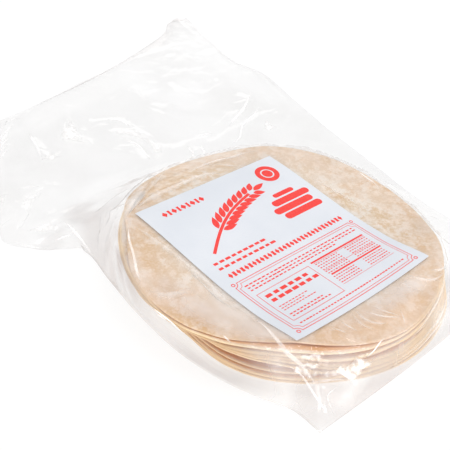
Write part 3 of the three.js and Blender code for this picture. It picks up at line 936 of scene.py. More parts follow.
# %% Where the folds lie
FOLD_STEP = 1.5
FOLD_COLUMNS = 9
FOLD_LIFT = 0.3  # a fold lies this far over the film
FOLD_THICKNESS = 0.12
FOLD_ARCH = 0.25  # the middle of a wide fold stands up by this much
FOLD_UNEVENNESS = 0.3  # how much a fold's width varies along it
EASING = 6
TAIL_START = 105  # folds that begin beyond this y lie in the empty tail
TAIL_FADE = 0.55  # and stand out less, over the white table
SOFT, CRISP = 0.75, 0.25  # the share of a fold's width over which it fades
FOLDS = [  # line, greatest width, milk in the middle, softness
    # over the lid, round the label
    ([(-55, 64), (-43, 66), (-31, 67), (-15, 67), (-4, 67), (6, 65), (10, 62)], 4.6, 0.26, SOFT),
    ([(8, 80), (10, 78), (19, 68), (25, 62)], 2.6, 0.22, SOFT),
    ([(-3, 77), (14, 77), (28, 73), (43, 70), (52, 68)], 3.6, 0.2, SOFT),
    ([(-24, 91), (-41, 79), (-59, 67), (-70, 60), (-78, 52)], 8.5, 0.27, SOFT),
    ([(-12, 90), (-30, 80), (-46, 71), (-62, 62)], 4.0, 0.24, SOFT),
    ([(-70, 52), (-77, 42), (-81, 34), (-86, 25), (-90, 18), (-92, 12)], 2.0, 0.45, CRISP),
    ([(-67, 54), (-66, 43), (-65, 34), (-64, 24), (-63, 15), (-63, 0), (-63, -10), (-65, -16),
     (-64, -26), (-62, -35), (-63, -46)], 4.6, 0.26, SOFT),
    ([(-65, 8), (-65, -4), (-66, -14), (-66, -24), (-65, -34)], 1.4, 0.25, SOFT),
    ([(-92, 6), (-90, 0), (-86, -3), (-81, -5), (-72, -5)], 5.4, 0.22, SOFT),
    ([(57, 26), (57, 20), (60, 11), (61, 0), (62, -9), (63, -18)], 2.2, 0.24, SOFT),
    ([(89, 16), (88, 3), (87, -6)], 1.4, 0.3, CRISP),
    ([(78, 50), (85, 36), (88, 26), (90, 15)], 1.6, 0.22, SOFT),
    # down the front, to the sealed corner
    ([(-62, -42, 30), (-62, -48, 30.4), (-64, -55, 31.7), (-67, -64, 33), (-67, -70, 30),
     (-64, -73, 27), (-62, -77, 23.4), (-61, -83, 19), (-61, -87, 17)], 2.4, 0.34, CRISP),
    ([(-67, -71, 24), (-64, -75, 21.4), (-63, -79, 19), (-63, -84, 15.5), (-63, -89, 12),
     (-62, -93, 8.6), (-61, -95, 5)], 1.1, 0.4, CRISP),
    ([(-64, -80, 15.4), (-61, -84, 18.6), (-56, -87, 18.5), (-49, -89, 16.7), (-45, -91, 15.2)],
     1.2, 0.3, CRISP),
    ([(-48, -91, 15.4), (-55, -91, 14.4), (-59, -90, 13.3), (-58, -94, 7), (-58, -97, 2.5)], 1.0,
     0.2, CRISP),
    ([(-96, 2, 28), (-95, -5, 28), (-94, -12, 27.8), (-94, -16, 27.5), (-93, -20, 25.5),
     (-92, -24, 23.5)], 1.2, 0.55, CRISP),
    ([(-95, -3, 25.8), (-95, -9, 26.8), (-94, -13, 26.6)], 0.8, 0.7, CRISP),
    ([(-82, -40, 29.8), (-83, -44, 30.1), (-82, -47, 29.4)], 1.6, 0.4, CRISP),
    ([(-18, -92, 28.3), (-21, -91, 28.4), (-26, -92, 26.4), (-30, -93, 24.8), (-33, -92, 24.1)],
     1.3, 0.5, CRISP),
    # fine folds on the lid near the front, and bands round the rim
    ([(-16, -70), (-18, -76), (-17, -81), (-13, -85), (-9, -86)], 2.2, 0.2, SOFT),
    ([(-19, -70), (-22, -77), (-21, -83), (-18, -86)], 2.0, 0.18, SOFT),
    ([(-29, -71), (-29, -77), (-27, -81)], 1.6, 0.26, SOFT),
    ([(-6, -75), (-4, -80), (0, -86)], 1.4, 0.24, SOFT),
    ([(-37, -71), (-36, -75), (-33, -79)], 1.6, 0.24, SOFT),
    ([(4, -84), (1, -89), (-2, -92)], 1.4, 0.24, SOFT),
    ([(-13, -74), (-9, -81), (-1, -87)], 1.6, 0.26, SOFT),
    ([(21, -71), (21, -76), (22, -80)], 1.6, 0.26, SOFT),
    ([(29, -69), (30, -74), (33, -79), (37, -83), (46, -82)], 2.4, 0.22, SOFT),
    ([(42, -76), (44, -79), (47, -81), (53, -79)], 3.2, 0.2, SOFT),
    ([(58, -72, 33), (48, -82, 33), (34, -89, 30.7), (18, -94, 27), (4, -95, 20.9),
     (-7, -95, 17.4)], 3.8, 0.26, SOFT),
    ([(62, -78, 24), (49, -87, 21.4), (34, -92, 17), (15, -96, 14), (0, -97, 11), (-15, -97, 9)],
     4.0, 0.24, SOFT),
    ([(46, -91, 14.6), (29, -95, 12), (11, -97, 9.6), (-7, -97, 8)], 3.6, 0.22, SOFT),
    # in the empty tail
    ([(-48, 235), (-41, 238), (-33, 243)], 2.0, 0.5, CRISP),
    ([(-56, 221), (-49, 228), (-43, 232)], 2.4, 0.5, CRISP),
    ([(-63, 210), (-57, 214), (-52, 217)], 1.8, 0.5, CRISP),
    ([(-53, 228), (-46, 233), (-38, 239)], 1.4, 0.5, CRISP),
    ([(-36, 251), (-30, 249), (-24, 247)], 2.2, 0.5, CRISP),
    ([(-60, 216), (-53, 221), (-47, 226)], 1.2, 0.5, CRISP),
    ([(-28, 229), (-35, 207), (-42, 188)], 0.9, 0.6, CRISP),
    ([(-73, 169), (-68, 166), (-61, 161)], 1.1, 0.5, CRISP),
    ([(-74, 111, 9), (-77, 98, 12), (-76, 92, 10), (-75, 86, 4), (-76, 78, 1.5)], 1.7, 0.6, CRISP),
    ([(-105, 122), (-100, 113), (-92, 104)], 1.3, 0.6, CRISP),
    ([(-86, 106), (-82, 101), (-78, 96)], 1.1, 0.5, CRISP),
    ([(-102, 140), (-99, 141), (-95, 139)], 1.1, 0.5, CRISP),
    ([(35, 217), (40, 208), (39, 195)], 1.5, 0.7, CRISP),
    ([(24, 184), (29, 175), (28, 164), (22, 148)], 1.3, 0.7, CRISP),
    ([(154, 180), (134, 167), (118, 159), (105, 153)], 2.6, 0.8, CRISP),
    ([(149, 163), (129, 153), (111, 145), (98, 133), (86, 129)], 1.7, 0.8, CRISP),
    ([(76, 155), (83, 154), (87, 152)], 1.5, 0.6, CRISP),
    ([(57, 148), (54, 138), (48, 130)], 1.4, 0.5, CRISP),
    ([(66, 143), (62, 134), (58, 128)], 1.4, 0.5, CRISP),
]


# %% Lay the folds on the film
def smooth_line(line, step):
    """Even points along a smooth curve through the corners."""
    t = np.linspace(0, 1, 400)
    curve = edge_curve(line, t)
    walked = np.concatenate([[0], np.cumsum(np.linalg.norm(np.diff(curve, axis=0), axis=1))])
    count = max(6, int(walked[-1] / step))
    even = np.linspace(0, walked[-1], count)
    return np.stack([np.interp(even, walked, curve[:, k]) for k in range(3)], -1)


film_tree = BVHTree.FromPolygons((film.reshape(-1, 3) * MM).tolist(), grid_faces(*film.shape[:2]))
DROP_FROM = 0.1  # metres, well over the bag


def drop(corner):
    """A corner given by x and y only takes its height from the film under it."""
    if len(corner) == 3:
        return np.array(corner, float)
    above = Vector((corner[0] * MM, corner[1] * MM, DROP_FROM))
    place = film_tree.ray_cast(above, Vector((0, 0, -1)))[0]
    return np.array([*corner, 0.0]) if place is None else np.array(place) / MM


def on_film(points):
    """The nearest points of the film, and its normals there."""
    found = [film_tree.find_nearest(Vector(point) * MM)[:2] for point in points.reshape(-1, 3)]
    places = np.array([place for place, _ in found]) / MM
    normals = np.array([normal for _, normal in found])
    return places.reshape(points.shape), normals.reshape(points.shape)


def eased(grid):
    """The grid with small steps along its rows evened out."""
    for _ in range(EASING):
        grid[1:-1] = (grid[:-2] + 2 * grid[1:-1] + grid[2:]) / 4
    return grid


def film_fold(name, line, width, most_milk, softness, number):
    """A closed thin strip on the film that narrows to both ends."""
    middle, normals = on_film(smooth_line([drop(corner) for corner in line], FOLD_STEP))
    rows, columns = len(middle), FOLD_COLUMNS
    side = np.cross(normals, np.gradient(middle, axis=0))
    side /= np.maximum(np.linalg.norm(side, axis=1, keepdims=True), 1e-9)
    t = np.linspace(0, 1, rows)
    draws = np.random.default_rng(60 + number)
    uneven = 1 + FOLD_UNEVENNESS * spread_noise((rows, 1), max(2, rows // 6), 1, draws)[:, 0]
    half = width / 2 * np.sin(np.pi * np.clip(t, 0.01, 0.99)) ** 0.6 * uneven
    across = np.linspace(-1, 1, columns)
    places, normals = on_film(middle[:, None] + side[:, None] * (half[:, None] * across)[..., None])
    places, normals = eased(places), eased(normals)
    arch = FOLD_ARCH * (1 - across**2) * np.minimum(1, half[:, None] / 3)
    upper = places + normals * (FOLD_LIFT + FOLD_THICKNESS + arch)[..., None]
    lower = places + normals * (FOLD_LIFT + arch)[..., None]
    points = np.concatenate([upper.reshape(-1, 3), lower.reshape(-1, 3)])
    faces = closed_faces(rows, columns, turned=True)
    piece = mesh_piece(name, points, faces, folded_film, "film", "bag")
    profile = smoothstep(across, -1.0, -1.0 + 2.2 * softness)
    profile *= 1 - 0.6 * smoothstep(across, 1 - softness, 1.0)
    most_milk *= TAIL_FADE if line[0][1] > TAIL_START else 1
    milk = most_milk * profile[None, :] * np.sin(np.pi * t)[:, None] ** 0.6
    set_film_shares(piece, np.array([milk, milk]))
    return piece


folds = [film_fold("film_fold_%02d" % (number + 1), *fold, number)
         for number, fold in enumerate(FOLDS)]
print("folds:", len(folds))

# %% [markdown]
# Crumpled film throws back the lamps from many small facets at once, which shows as white patches
# with jagged edges. Each patch is a thin piece with a ragged outline, cut into small cells whose
# heights differ, so that every cell is a facet of its own. Their white is a painted glint: much milk
# turns the folded film white there and makes it glow.

# %% Where the crumpled patches with painted glints lie
FRONT_GLINT_PATCHES = [  # corners
    [(-65, -71, 31.1), (-62, -74, 29.9), (-59, -75, 30.4), (-54, -79, 30.1), (-53, -80, 27.7),
     (-56, -80, 25.7), (-58, -79, 25), (-60, -76, 27.2), (-63, -74, 27.8)],
    [(-47, -82, 30.5), (-44, -84, 28.8), (-41, -86, 27.8), (-45, -84, 27.2)],
    [(-60, -82, 21.4), (-54, -84, 21.9), (-48, -86, 21.2), (-45, -86, 23), (-43, -88, 20.5),
     (-39, -88, 21.6), (-37, -89, 24), (-33, -92, 23.6), (-30, -93, 19.4), (-36, -93, 17),
     (-38, -93, 14.6), (-41, -92, 12.5), (-45, -90, 15.7), (-50, -88, 18.4), (-57, -85, 19.8)],
    [(-66, -76, 26), (-61, -79, 27), (-54, -83, 26.5), (-56, -85, 21), (-62, -81, 19),
     (-69, -75, 20)],
    [(-72, -65, 21.5), (-71, -66, 23.9), (-70, -68, 25), (-69, -69, 23), (-70, -68, 21),
     (-71, -68, 18.4)],
    [(-70, -72, 8.6), (-69, -72, 9.9), (-69, -73, 7.3)],
    [(-69, -1), (-66.5, 1.5), (-64.5, 1.5), (-67.5, -1)],
]
TAIL_GLINT_PATCHES = [
    [(11, 234), (-5, 218), (-15, 205), (-8, 198), (-3, 191), (-1, 202), (7, 221)],
    [(-43, 188), (-37, 190), (-29, 200), (-33, 189), (-29, 186), (-36, 184)],
    [(-62, 159), (-69, 157), (-77, 155), (-88, 138), (-96, 128), (-99, 126), (-95, 126),
     (-88, 133), (-78, 143)],
    [(-85, 172), (-80, 168), (-85, 165), (-90, 158), (-89, 164)],
    [(-96, 122), (-86, 121), (-79, 121), (-77, 113), (-81, 109), (-82, 116), (-89, 117)],
    [(22, 196), (28, 194), (36, 190), (38, 181), (38, 168), (36, 156), (32, 148), (30, 150),
     (33, 160), (35, 171), (33, 180), (27, 188)],
    [(120, 131), (133, 138), (129, 130), (131, 126), (123, 126)],
]
PATCH_CELL = 1.5
PATCH_CRUMPLE = 0.6  # how far the facets stand up
CRUMPLE_SCALE, SHINE_SCALE = 0.5, 0.42  # how finely their heights and their painted glint vary
FRONT_GLINT_MILK = (0.24, 0.8, 1.4)  # the painted glint's milk, its spread, and the width of the soft edge
TAIL_GLINT_MILK = (0.24, 0.5, 2.6)
LEAST_GLINT_MILK, MOST_GLINT_MILK = 0.05, 0.9
RAGGED, RAGGED_STEP = 1.3, 2.5  # how far the outline is moved in and out, and how often


# %% A thin sheet from flat shapes
CUT_SHIFT = 0.013  # keeps the cuts off the shapes' own corners


def cut_sheet(shapes, cell):
    """Flat shapes as one sheet, cut along a grid so that it can bend, with every face up."""
    made = bmesh.new()
    for shape in shapes:
        made.faces.new([made.verts.new((x, y, 0)) for x, y in shape])
    bmesh.ops.recalc_face_normals(made, faces=made.faces)
    bmesh.ops.triangulate(made, faces=[face for face in made.faces if len(face.verts) > 4])
    for axis in (0, 1):
        low, high = min(v.co[axis] for v in made.verts), max(v.co[axis] for v in made.verts)
        for place in np.arange(math.floor(low / cell + 1) * cell, high, cell):
            point, way = [0, 0, 0], [0, 0, 0]
            point[axis], way[axis] = place + CUT_SHIFT, 1
            everything = made.verts[:] + made.edges[:] + made.faces[:]
            bmesh.ops.bisect_plane(made, geom=everything, plane_co=point, plane_no=way, dist=1e-5)
    for face in made.faces:
        if face.normal.z < 0:
            face.normal_flip()
    return made


def thicken(made, place_of):
    """Doubles a flat sheet into a closed one. place_of(x, y, is_upper) places each point."""
    grown = bmesh.ops.extrude_face_region(made, geom=made.faces[:])
    upper = {v for v in grown["geom"] if isinstance(v, bmesh.types.BMVert)}
    made.verts.index_update()
    points = [place_of(v.co.x, v.co.y, v in upper) for v in made.verts]
    for vert, point in zip(made.verts, points):
        vert.co = point
    bmesh.ops.recalc_face_normals(made, faces=made.faces)
    faces = [[v.index for v in f.verts] for f in made.faces]
    made.free()
    return points, faces


# %% Lay the crumpled patches with painted glints on the film
def from_outline(places, outline):
    """How far flat places lie from the nearest side of an outline."""
    nearest = np.full(len(places), 1e9)
    for a, b in zip(outline, np.roll(outline, -1, 0)):
        way = b - a
        share = np.clip(((places - a) @ way) / max(way @ way, 1e-9), 0, 1)
        nearest = np.minimum(nearest, np.linalg.norm(places - a - share[:, None] * way, axis=1))
    return nearest


def film_glint_patch(name, corners, strength, number):
    """A crumpled patch of film with a ragged outline, painted white as a glint."""
    corners = np.array([drop(corner) for corner in corners])
    middle = corners.mean(0)
    axes = np.linalg.svd(corners - middle)[2][:2]
    flat_corners = (corners - middle) @ axes.T
    draws = np.random.default_rng(90 + number)
    outline = []
    for a, b in zip(flat_corners, np.roll(flat_corners, -1, 0)):
        length = np.linalg.norm(b - a)
        steps = max(1, int(length / RAGGED_STEP))
        side = np.array([a[1] - b[1], b[0] - a[0]]) / max(length, 1e-6)
        for step in range(steps):
            shift = draws.uniform(-1, 1) * RAGGED * min(1, length / 6) * (step > 0)
            outline.append(tuple(a + (b - a) * step / steps + side * shift))

    def place_of(x, y, is_upper):
        wanted = Vector(middle + x * axes[0] + y * axes[1]) * MM
        place, normal, _, _ = film_tree.find_nearest(wanted)
        spot = Vector((x * CRUMPLE_SCALE, y * CRUMPLE_SCALE, number * 3.1))
        crumple = PATCH_CRUMPLE * (1 + noise.noise(spot))
        rise = FOLD_LIFT + crumple + FOLD_THICKNESS * is_upper
        return tuple(np.array(place) / MM + np.array(normal) * rise)

    points, faces = thicken(cut_sheet([outline], PATCH_CELL), place_of)
    piece = mesh_piece(name, points, faces, folded_film, "film", "bag", smooth=False)
    shine = np.array([noise.noise(Vector(point) * SHINE_SCALE) for point in points])
    usual_glint_milk, spread, soft = strength
    inside = from_outline((np.array(points) - middle) @ axes.T, np.array(outline))
    milk = np.clip(usual_glint_milk + spread * shine, LEAST_GLINT_MILK, MOST_GLINT_MILK)
    set_film_shares(piece, milk * smoothstep(inside, -0.2 * soft, soft))
    return piece


glint_patches = []
for places, strength in ((FRONT_GLINT_PATCHES, FRONT_GLINT_MILK), (TAIL_GLINT_PATCHES, TAIL_GLINT_MILK)):
    for corners in places:
        number = len(glint_patches)
        glint_patches.append(film_glint_patch("film_patch_%02d" % (number + 1), corners, strength, number))
print("patches:", len(glint_patches))

# %% [markdown]
# ## Tortillas
# Each tortilla is a thin disc of soft dough with an uneven rim. A Geometry Nodes tree gives every
# disc its own rim and blisters from a seed, and then the disc is laid in the stack: the upper ones
# lie flat, and the lower ones droop at the rim and leave a dark gap.

# %% Tortilla surface
DOUGH_PALE, DOUGH_WARM = linear(228, 210, 190), linear(220, 193, 157)
# ochre is the toasted rim, and in the crevices between tortillas also painted shade; the brown is
# painted shade deep in them
RIM_TOAST_AND_SHADE_OCHRE, CREVICE_PAINTED_SHADE = linear(221, 148, 44), linear(196, 110, 14)
RIM_CREAM_AND_PAINTED_LIGHT = linear(246, 215, 168)  # the very edge, where the dough is thin; partly painted light on the lit edges of the stack's side


def tortilla_material():
    """Dough in layers of noise, from broad clouds to grains of flour, with a toasted rim, painted
    shade in the crevices and painted light on the edges.
    """
    material, tree, shader = new_material(
        "baked_flour_dough", Roughness=0.72, Subsurface_Weight=0.12,
        Subsurface_Radius=(0.002, 0.0016, 0.0012), Subsurface_Scale=1.0)
    place = own_place(tree)

    def pattern(scale, detail, seed, roughness=0.6):
        return noise_at(tree, place, scale, detail, seed, Roughness=roughness)

    broad, bloom, speckle = pattern(22, 3, 1.0), pattern(75, 4, 5.0), pattern(260, 4, 2.0)
    layers = (  # pattern, where it starts and ends, its strength, its colour
        (pattern(48, 5, 9.0), 0.52, 0.70, 0.75, (218, 180, 134)),  # toasted clouds
        (bloom, 0.50, 0.68, 0.6, (237, 224, 212)),  # pale bloom
        (pattern(85, 9, 12.0, 0.8), 0.48, 0.58, 0.9, (241, 232, 222)),  # flour in ragged spots
        (speckle, 0.5, 0.62, 0.6, (247, 233, 220)),  # small blisters
        (pattern(720, 3, 14.0), 0.5, 0.68, 0.45, (250, 240, 230)),  # grains of flour
    )
    colour = mix_colour(tree, remap(tree, broad, 0.38, 0.64, 0, 1), DOUGH_PALE, DOUGH_WARM)
    for values, start, end, strength, shown in layers:
        share = remap(tree, values, start, end, 0, strength)
        colour = mix_colour(tree, share, colour, linear(*shown))
    rim, cream_edge_and_light = kept_value(tree, "rim"), kept_value(tree, "cream_edge_and_light")
    # ochre, then brown painted shade in the crevices, then the cream edge, which is partly painted
    # light
    colour = mix_colour(tree, remap(tree, rim, 0.0, 1.0, 0.0, 0.92, "LINEAR"), colour, RIM_TOAST_AND_SHADE_OCHRE)
    colour = mix_colour(tree, remap(tree, rim, 1.0, 2.0, 0.0, 0.9, "LINEAR"), colour, CREVICE_PAINTED_SHADE)
    colour = mix_colour(tree, math_node(tree, "MULTIPLY", cream_edge_and_light, 0.85), colour, RIM_CREAM_AND_PAINTED_LIGHT)
    feed(tree, shader.inputs["Base Color"], colour)
    height = math_node(tree, "ADD", math_node(tree, "MULTIPLY", bloom, 0.7),
                       math_node(tree, "MULTIPLY", speckle, 0.3))
    bump = node(tree, "ShaderNodeBump", {"Height": height, "Strength": 0.6, "Distance": 0.0008})
    feed(tree, shader.inputs["Normal"], bump.outputs[0])
    return material


dough = tortilla_material()
print("material:", dough.name, "with", len(dough.node_tree.nodes), "nodes")

# %% A tree that makes a disc uneven
def uneven_disc_tree():
    """Moves the rim in and out, and raises low blisters, from a seed."""
    tree = bpy.data.node_groups.new("uneven_disc", "GeometryNodeTree")
    tree.interface.new_socket("Geometry", in_out="INPUT", socket_type="NodeSocketGeometry")
    for name, kind, value in (
        ("Rim unevenness", "NodeSocketFloat", 0.01), ("Blister height", "NodeSocketFloat", 0.0003),
        ("Seed", "NodeSocketFloat", 0.0), ("Material", "NodeSocketMaterial", None),
    ):
        made = tree.interface.new_socket(name, in_out="INPUT", socket_type=kind)
        if value is not None:
            made.default_value = value
    tree.interface.new_socket("Geometry", in_out="OUTPUT", socket_type="NodeSocketGeometry")
    given = node(tree, "NodeGroupInput")
    place = node(tree, "GeometryNodeInputPosition").outputs[0]

    def waves(scale, detail):
        values = noise_at(tree, place, scale, detail, given.outputs["Seed"])
        return math_node(tree, "SUBTRACT", values, 0.5)

    fine = math_node(tree, "MULTIPLY", waves(45.0, 2.0), 0.25)
    rim = math_node(tree, "ADD", waves(9.0, 1.0), fine)
    grow = math_node(tree, "MULTIPLY", rim, given.outputs["Rim unevenness"])
    parts = node(tree, "ShaderNodeSeparateXYZ", {0: place})
    rise = math_node(tree, "MULTIPLY", waves(60.0, 2.0), given.outputs["Blister height"])
    offset = node(tree, "ShaderNodeCombineXYZ", {
        0: math_node(tree, "MULTIPLY", parts.outputs[0], grow),
        1: math_node(tree, "MULTIPLY", parts.outputs[1], grow),
        2: rise,
    }).outputs[0]
    moved = node(tree, "GeometryNodeSetPosition", {
        "Geometry": given.outputs["Geometry"], "Offset": offset}).outputs[0]
    real = node(tree, "GeometryNodeRealizeInstances", {"Geometry": moved}).outputs[0]
    painted = node(tree, "GeometryNodeSetMaterial", {
        "Geometry": real, "Material": given.outputs["Material"]}).outputs[0]
    tree.links.new(painted, node(tree, "NodeGroupOutput").inputs[0])
    return tree


def run_tree(piece, tree, **inputs):
    """Puts a Geometry Nodes tree on a piece, sets its inputs and keeps the result as a mesh."""
    modifier = piece.modifiers.new(tree.name, "NODES")
    modifier.node_group = tree
    sockets = {s.name: s.identifier for s in tree.interface.items_tree if s.in_out == "INPUT"}
    for name, value in inputs.items():
        modifier[sockets[name.replace("_", " ")]] = value
    evaluated = piece.evaluated_get(bpy.context.evaluated_depsgraph_get())
    mesh = bpy.data.meshes.new_from_object(evaluated)
    piece.modifiers.remove(modifier)
    old, piece.data = piece.data, mesh
    bpy.data.meshes.remove(old)
    return piece


uneven_disc = uneven_disc_tree()
print("tree:", uneven_disc.name, "with", len(uneven_disc.nodes), "nodes")

# %% A flat disc
DOUGH_THICKNESS = 1.5
RIM_THINNING = 0.35  # the rim is thinner than the middle by this share
RING_SHARES = [
    0, 0.12, 0.25, 0.38, 0.5, 0.6, 0.69, 0.77, 0.83, 0.88, 0.92, 0.95, 0.97, 0.985, 0.995,
]


def flat_disc(around, shares):
    """A round flat disc, from the middle out over its rounded rim, and back along its underside."""
    angle = np.linspace(0, 2 * np.pi, around, endpoint=False)
    outward = [(share, 0.5 * (1 - RIM_THINNING * smoothstep(share, 0.8, 1)))
               for share in shares[1:]]
    back = [(share, -half) for share, half in reversed(outward)]
    rings, heights = zip(*outward, (1.0, 0.0), *back)
    points = [
        np.stack([TORTILLA_RADIUS * s * np.cos(angle), TORTILLA_RADIUS * s * np.sin(angle),
                  np.full(around, h * DOUGH_THICKNESS)], -1)
        for s, h in zip(rings, heights)
    ]
    top, bottom = len(rings) * around, len(rings) * around + 1
    middles = [[0, 0, DOUGH_THICKNESS / 2], [0, 0, -DOUGH_THICKNESS / 2]]
    points = np.concatenate(points + [middles])
    faces = [quad[::-1] for quad in grid_faces(len(rings), around, around=True)]
    last = (len(rings) - 1) * around
    for i in range(around):
        j = (i + 1) % around
        faces.append((top, i, j))
        faces.append((bottom, last + j, last + i))
    return points, faces


# %% [markdown]
# The stack isn't pressed evenly: most tortillas touch, and some part from the next along a stretch
# of the rim and leave a dark gap. At every place each tortilla takes a share of the stack's height,
# so the shares always fill it. A gap is a place where one tortilla takes a bigger share.

# %% Where each tortilla lies in the stack
STACK_BOTTOM = 0.6
UNDER_FILM = 0.95  # the topmost tortilla lies this far under the smooth lid
GAPS = [  # the tortilla over the gap (from 0), height in tortillas, direction and reach in degrees
    (7, 6.4, -150, 34), (19, 0.9, -171, 12), (17, 0.9, -150, 14), (19, 0.6, -130, 16),
    (15, 1.0, -137, 14), (19, 0.5, -85, 20), (12, 0.6, -100, 22), (16, 0.8, -72, 20),
    (8, 1.1, -128, 16), (17, 0.9, -116, 12), (13, 1.0, -30, 30), (5, 0.8, -80, 40),
    (18, 0.8, 175, 30), (10, 0.8, 170, 30), (3, 0.7, -100, 30), (10, 0.7, -85, 25),
    (14, 0.8, -115, 18),
]
GAP_DEPTH = (60, 92)  # a gap opens between these distances from the middle
LOOSENESS = 0.75  # how much the spacing varies at the rim
LOOSE_DEPTH = (48, 94)
LEAST_SHARE = 0.4
MOST_ROOM = 1.06 * DOUGH_THICKNESS
stack_draws = np.random.default_rng(7)
waves = stack_draws.uniform(0, 2 * np.pi, (TORTILLA_COUNT, 4))
strengths = stack_draws.uniform(0.3, 1.0, (TORTILLA_COUNT, 4))


def stack_top(x, y):
    return lid_height(x, y) - UNDER_FILM


def spacing_share(number, x, y):
    """How much of the stack's height a tortilla takes. Loose rims take more here and less there."""
    angle, far_out = np.arctan2(y, x), np.hypot(x, y)
    wave = sum(strength * np.sin((k + 2) * angle + start)
               for k, (strength, start) in enumerate(zip(strengths[number], waves[number]))) / 2
    share = 1 + LOOSENESS * smoothstep(far_out, *LOOSE_DEPTH) * wave
    for over, height, middle, reach in GAPS:
        if number == over:
            turned = np.abs(turned_from(middle, x, y))
            opening = smoothstep(far_out, *GAP_DEPTH) * (1 - smoothstep(turned, 0.3 * reach, reach))
            share = share + height * opening
    return np.maximum(share, LEAST_SHARE)


def seat(number, x, y):
    """The height of a tortilla's middle, and the room that it has."""
    shares = np.array([spacing_share(k, x, y) for k in range(TORTILLA_COUNT)])
    room = (stack_top(x, y) - STACK_BOTTOM) / shares.sum(0)
    top = STACK_BOTTOM + shares[:number + 1].sum(0) * room
    own = np.minimum(shares[number] * room, MOST_ROOM)
    return top - own / 2, own


print("gaps:", len(GAPS))

# %% [markdown]
# A tortilla's rim is darker than its face: ochre where it was toasted, which in the crevices between
# two rims also stands for their shade, and brown deeper in those crevices, which is painted shade.
# At the very edge, where the dough is thin, it is cream, and that cream is partly painted light,
# where the edges of the stack's side catch it. Every rim is uneven, so the colours follow each
# disc's own rim and not a true circle.

# %% The colours of the rims
RIM_STARTS = (0.6, 0.92)  # the shares of the way out between which the rim's colour sets in
RIM_ENDS = (0.976, 0.99)  # and between which it gives way to the cream edge
CREAM_STARTS, TOP_CREAM = (0.982, 0.994), 0.2
CREVICE_SHADE_ENDS = (0.95, 0.985)  # where the painted brown shade between two rims ends
TOP_RIM = 0.35  # how much of the ochre shows on the upper side of the topmost tortilla
TOAST_WAY, TOAST_REACH, LEAST_TOAST = -125, 80, 0.45  # the side of the stack that is most toasted
BARE_REACH, BARE_SHARE = 26, 0.9  # the second tortilla is pale where the topmost one is pulled in


def rim_share(place, segments):
    """How far out each point lies, where 1 is the disc's own uneven rim."""
    far = np.hypot(place[:, 0], place[:, 1])
    turn = np.arctan2(place[:, 1], place[:, 0]) / (2 * np.pi)
    sector = np.round(turn * segments).astype(int) % segments
    reach = np.full(segments, 1e-6)
    np.maximum.at(reach, sector, far)
    return far / reach[sector]


def rim_colours(number, outward, under, toasted, bare):
    """How ochre (to 1) or brown painted shade (to 2) each point is, and how much cream edge it has.
    """
    if number == TORTILLA_COUNT - 1:
        shown, cream = TOP_RIM * (1 - under) + under, TOP_CREAM
    else:
        shown, cream = 1 - smoothstep(outward, *RIM_ENDS), 1.0
    crevice_shade = 0 if number > TORTILLA_COUNT - 3 else 1 - smoothstep(outward, *CREVICE_SHADE_ENDS)
    rim = smoothstep(outward, *RIM_STARTS) * shown * (1 + crevice_shade) * toasted * (1 - BARE_SHARE * bare)
    return rim, cream * smoothstep(outward, *CREAM_STARTS)


# %% Lay the tortillas in the stack
SEGMENTS, TOP_SEGMENTS = 150, 240
TOP_RINGS = np.linspace(0, 0.97, 36).round(3)  # the topmost tortilla is finer, as its face shows
RIM_UNEVENNESS, BLISTERS, TOP_BLISTERS = 0.04, 0.0003, 0.0005
LOWER_SIZE = 0.98  # the tortillas under the topmost one, as a share of its size
SLIP, MOST_SLIP = 1.6, 2.6  # how far one lies off the stack's middle
PRESSED = 0.94  # a pressed tortilla fills this share of its room
TOP_DENTS = ((146, 17, 6.0), (-130, 23, 4.5))  # where its rim is pulled in: degrees, reach, depth
LOW_DENTS = ((-178, 18, 8.0),)  # where the lower tortillas' rims are pressed in
LOW_DENT_STARTS = (0.35, 0.75)  # the shares of the way down between which that sets in


def dented(x, y, dents, share):
    """The shares that draw a rim in at its dents."""
    far_out = np.hypot(x, y) / TORTILLA_RADIUS
    drawn = np.ones(len(x))
    for middle, reach, depth in dents:
        dent = share * depth / TORTILLA_RADIUS * far_out**4
        drawn -= dent * bell(turned_from(middle, x, y), 0, reach)
    return drawn


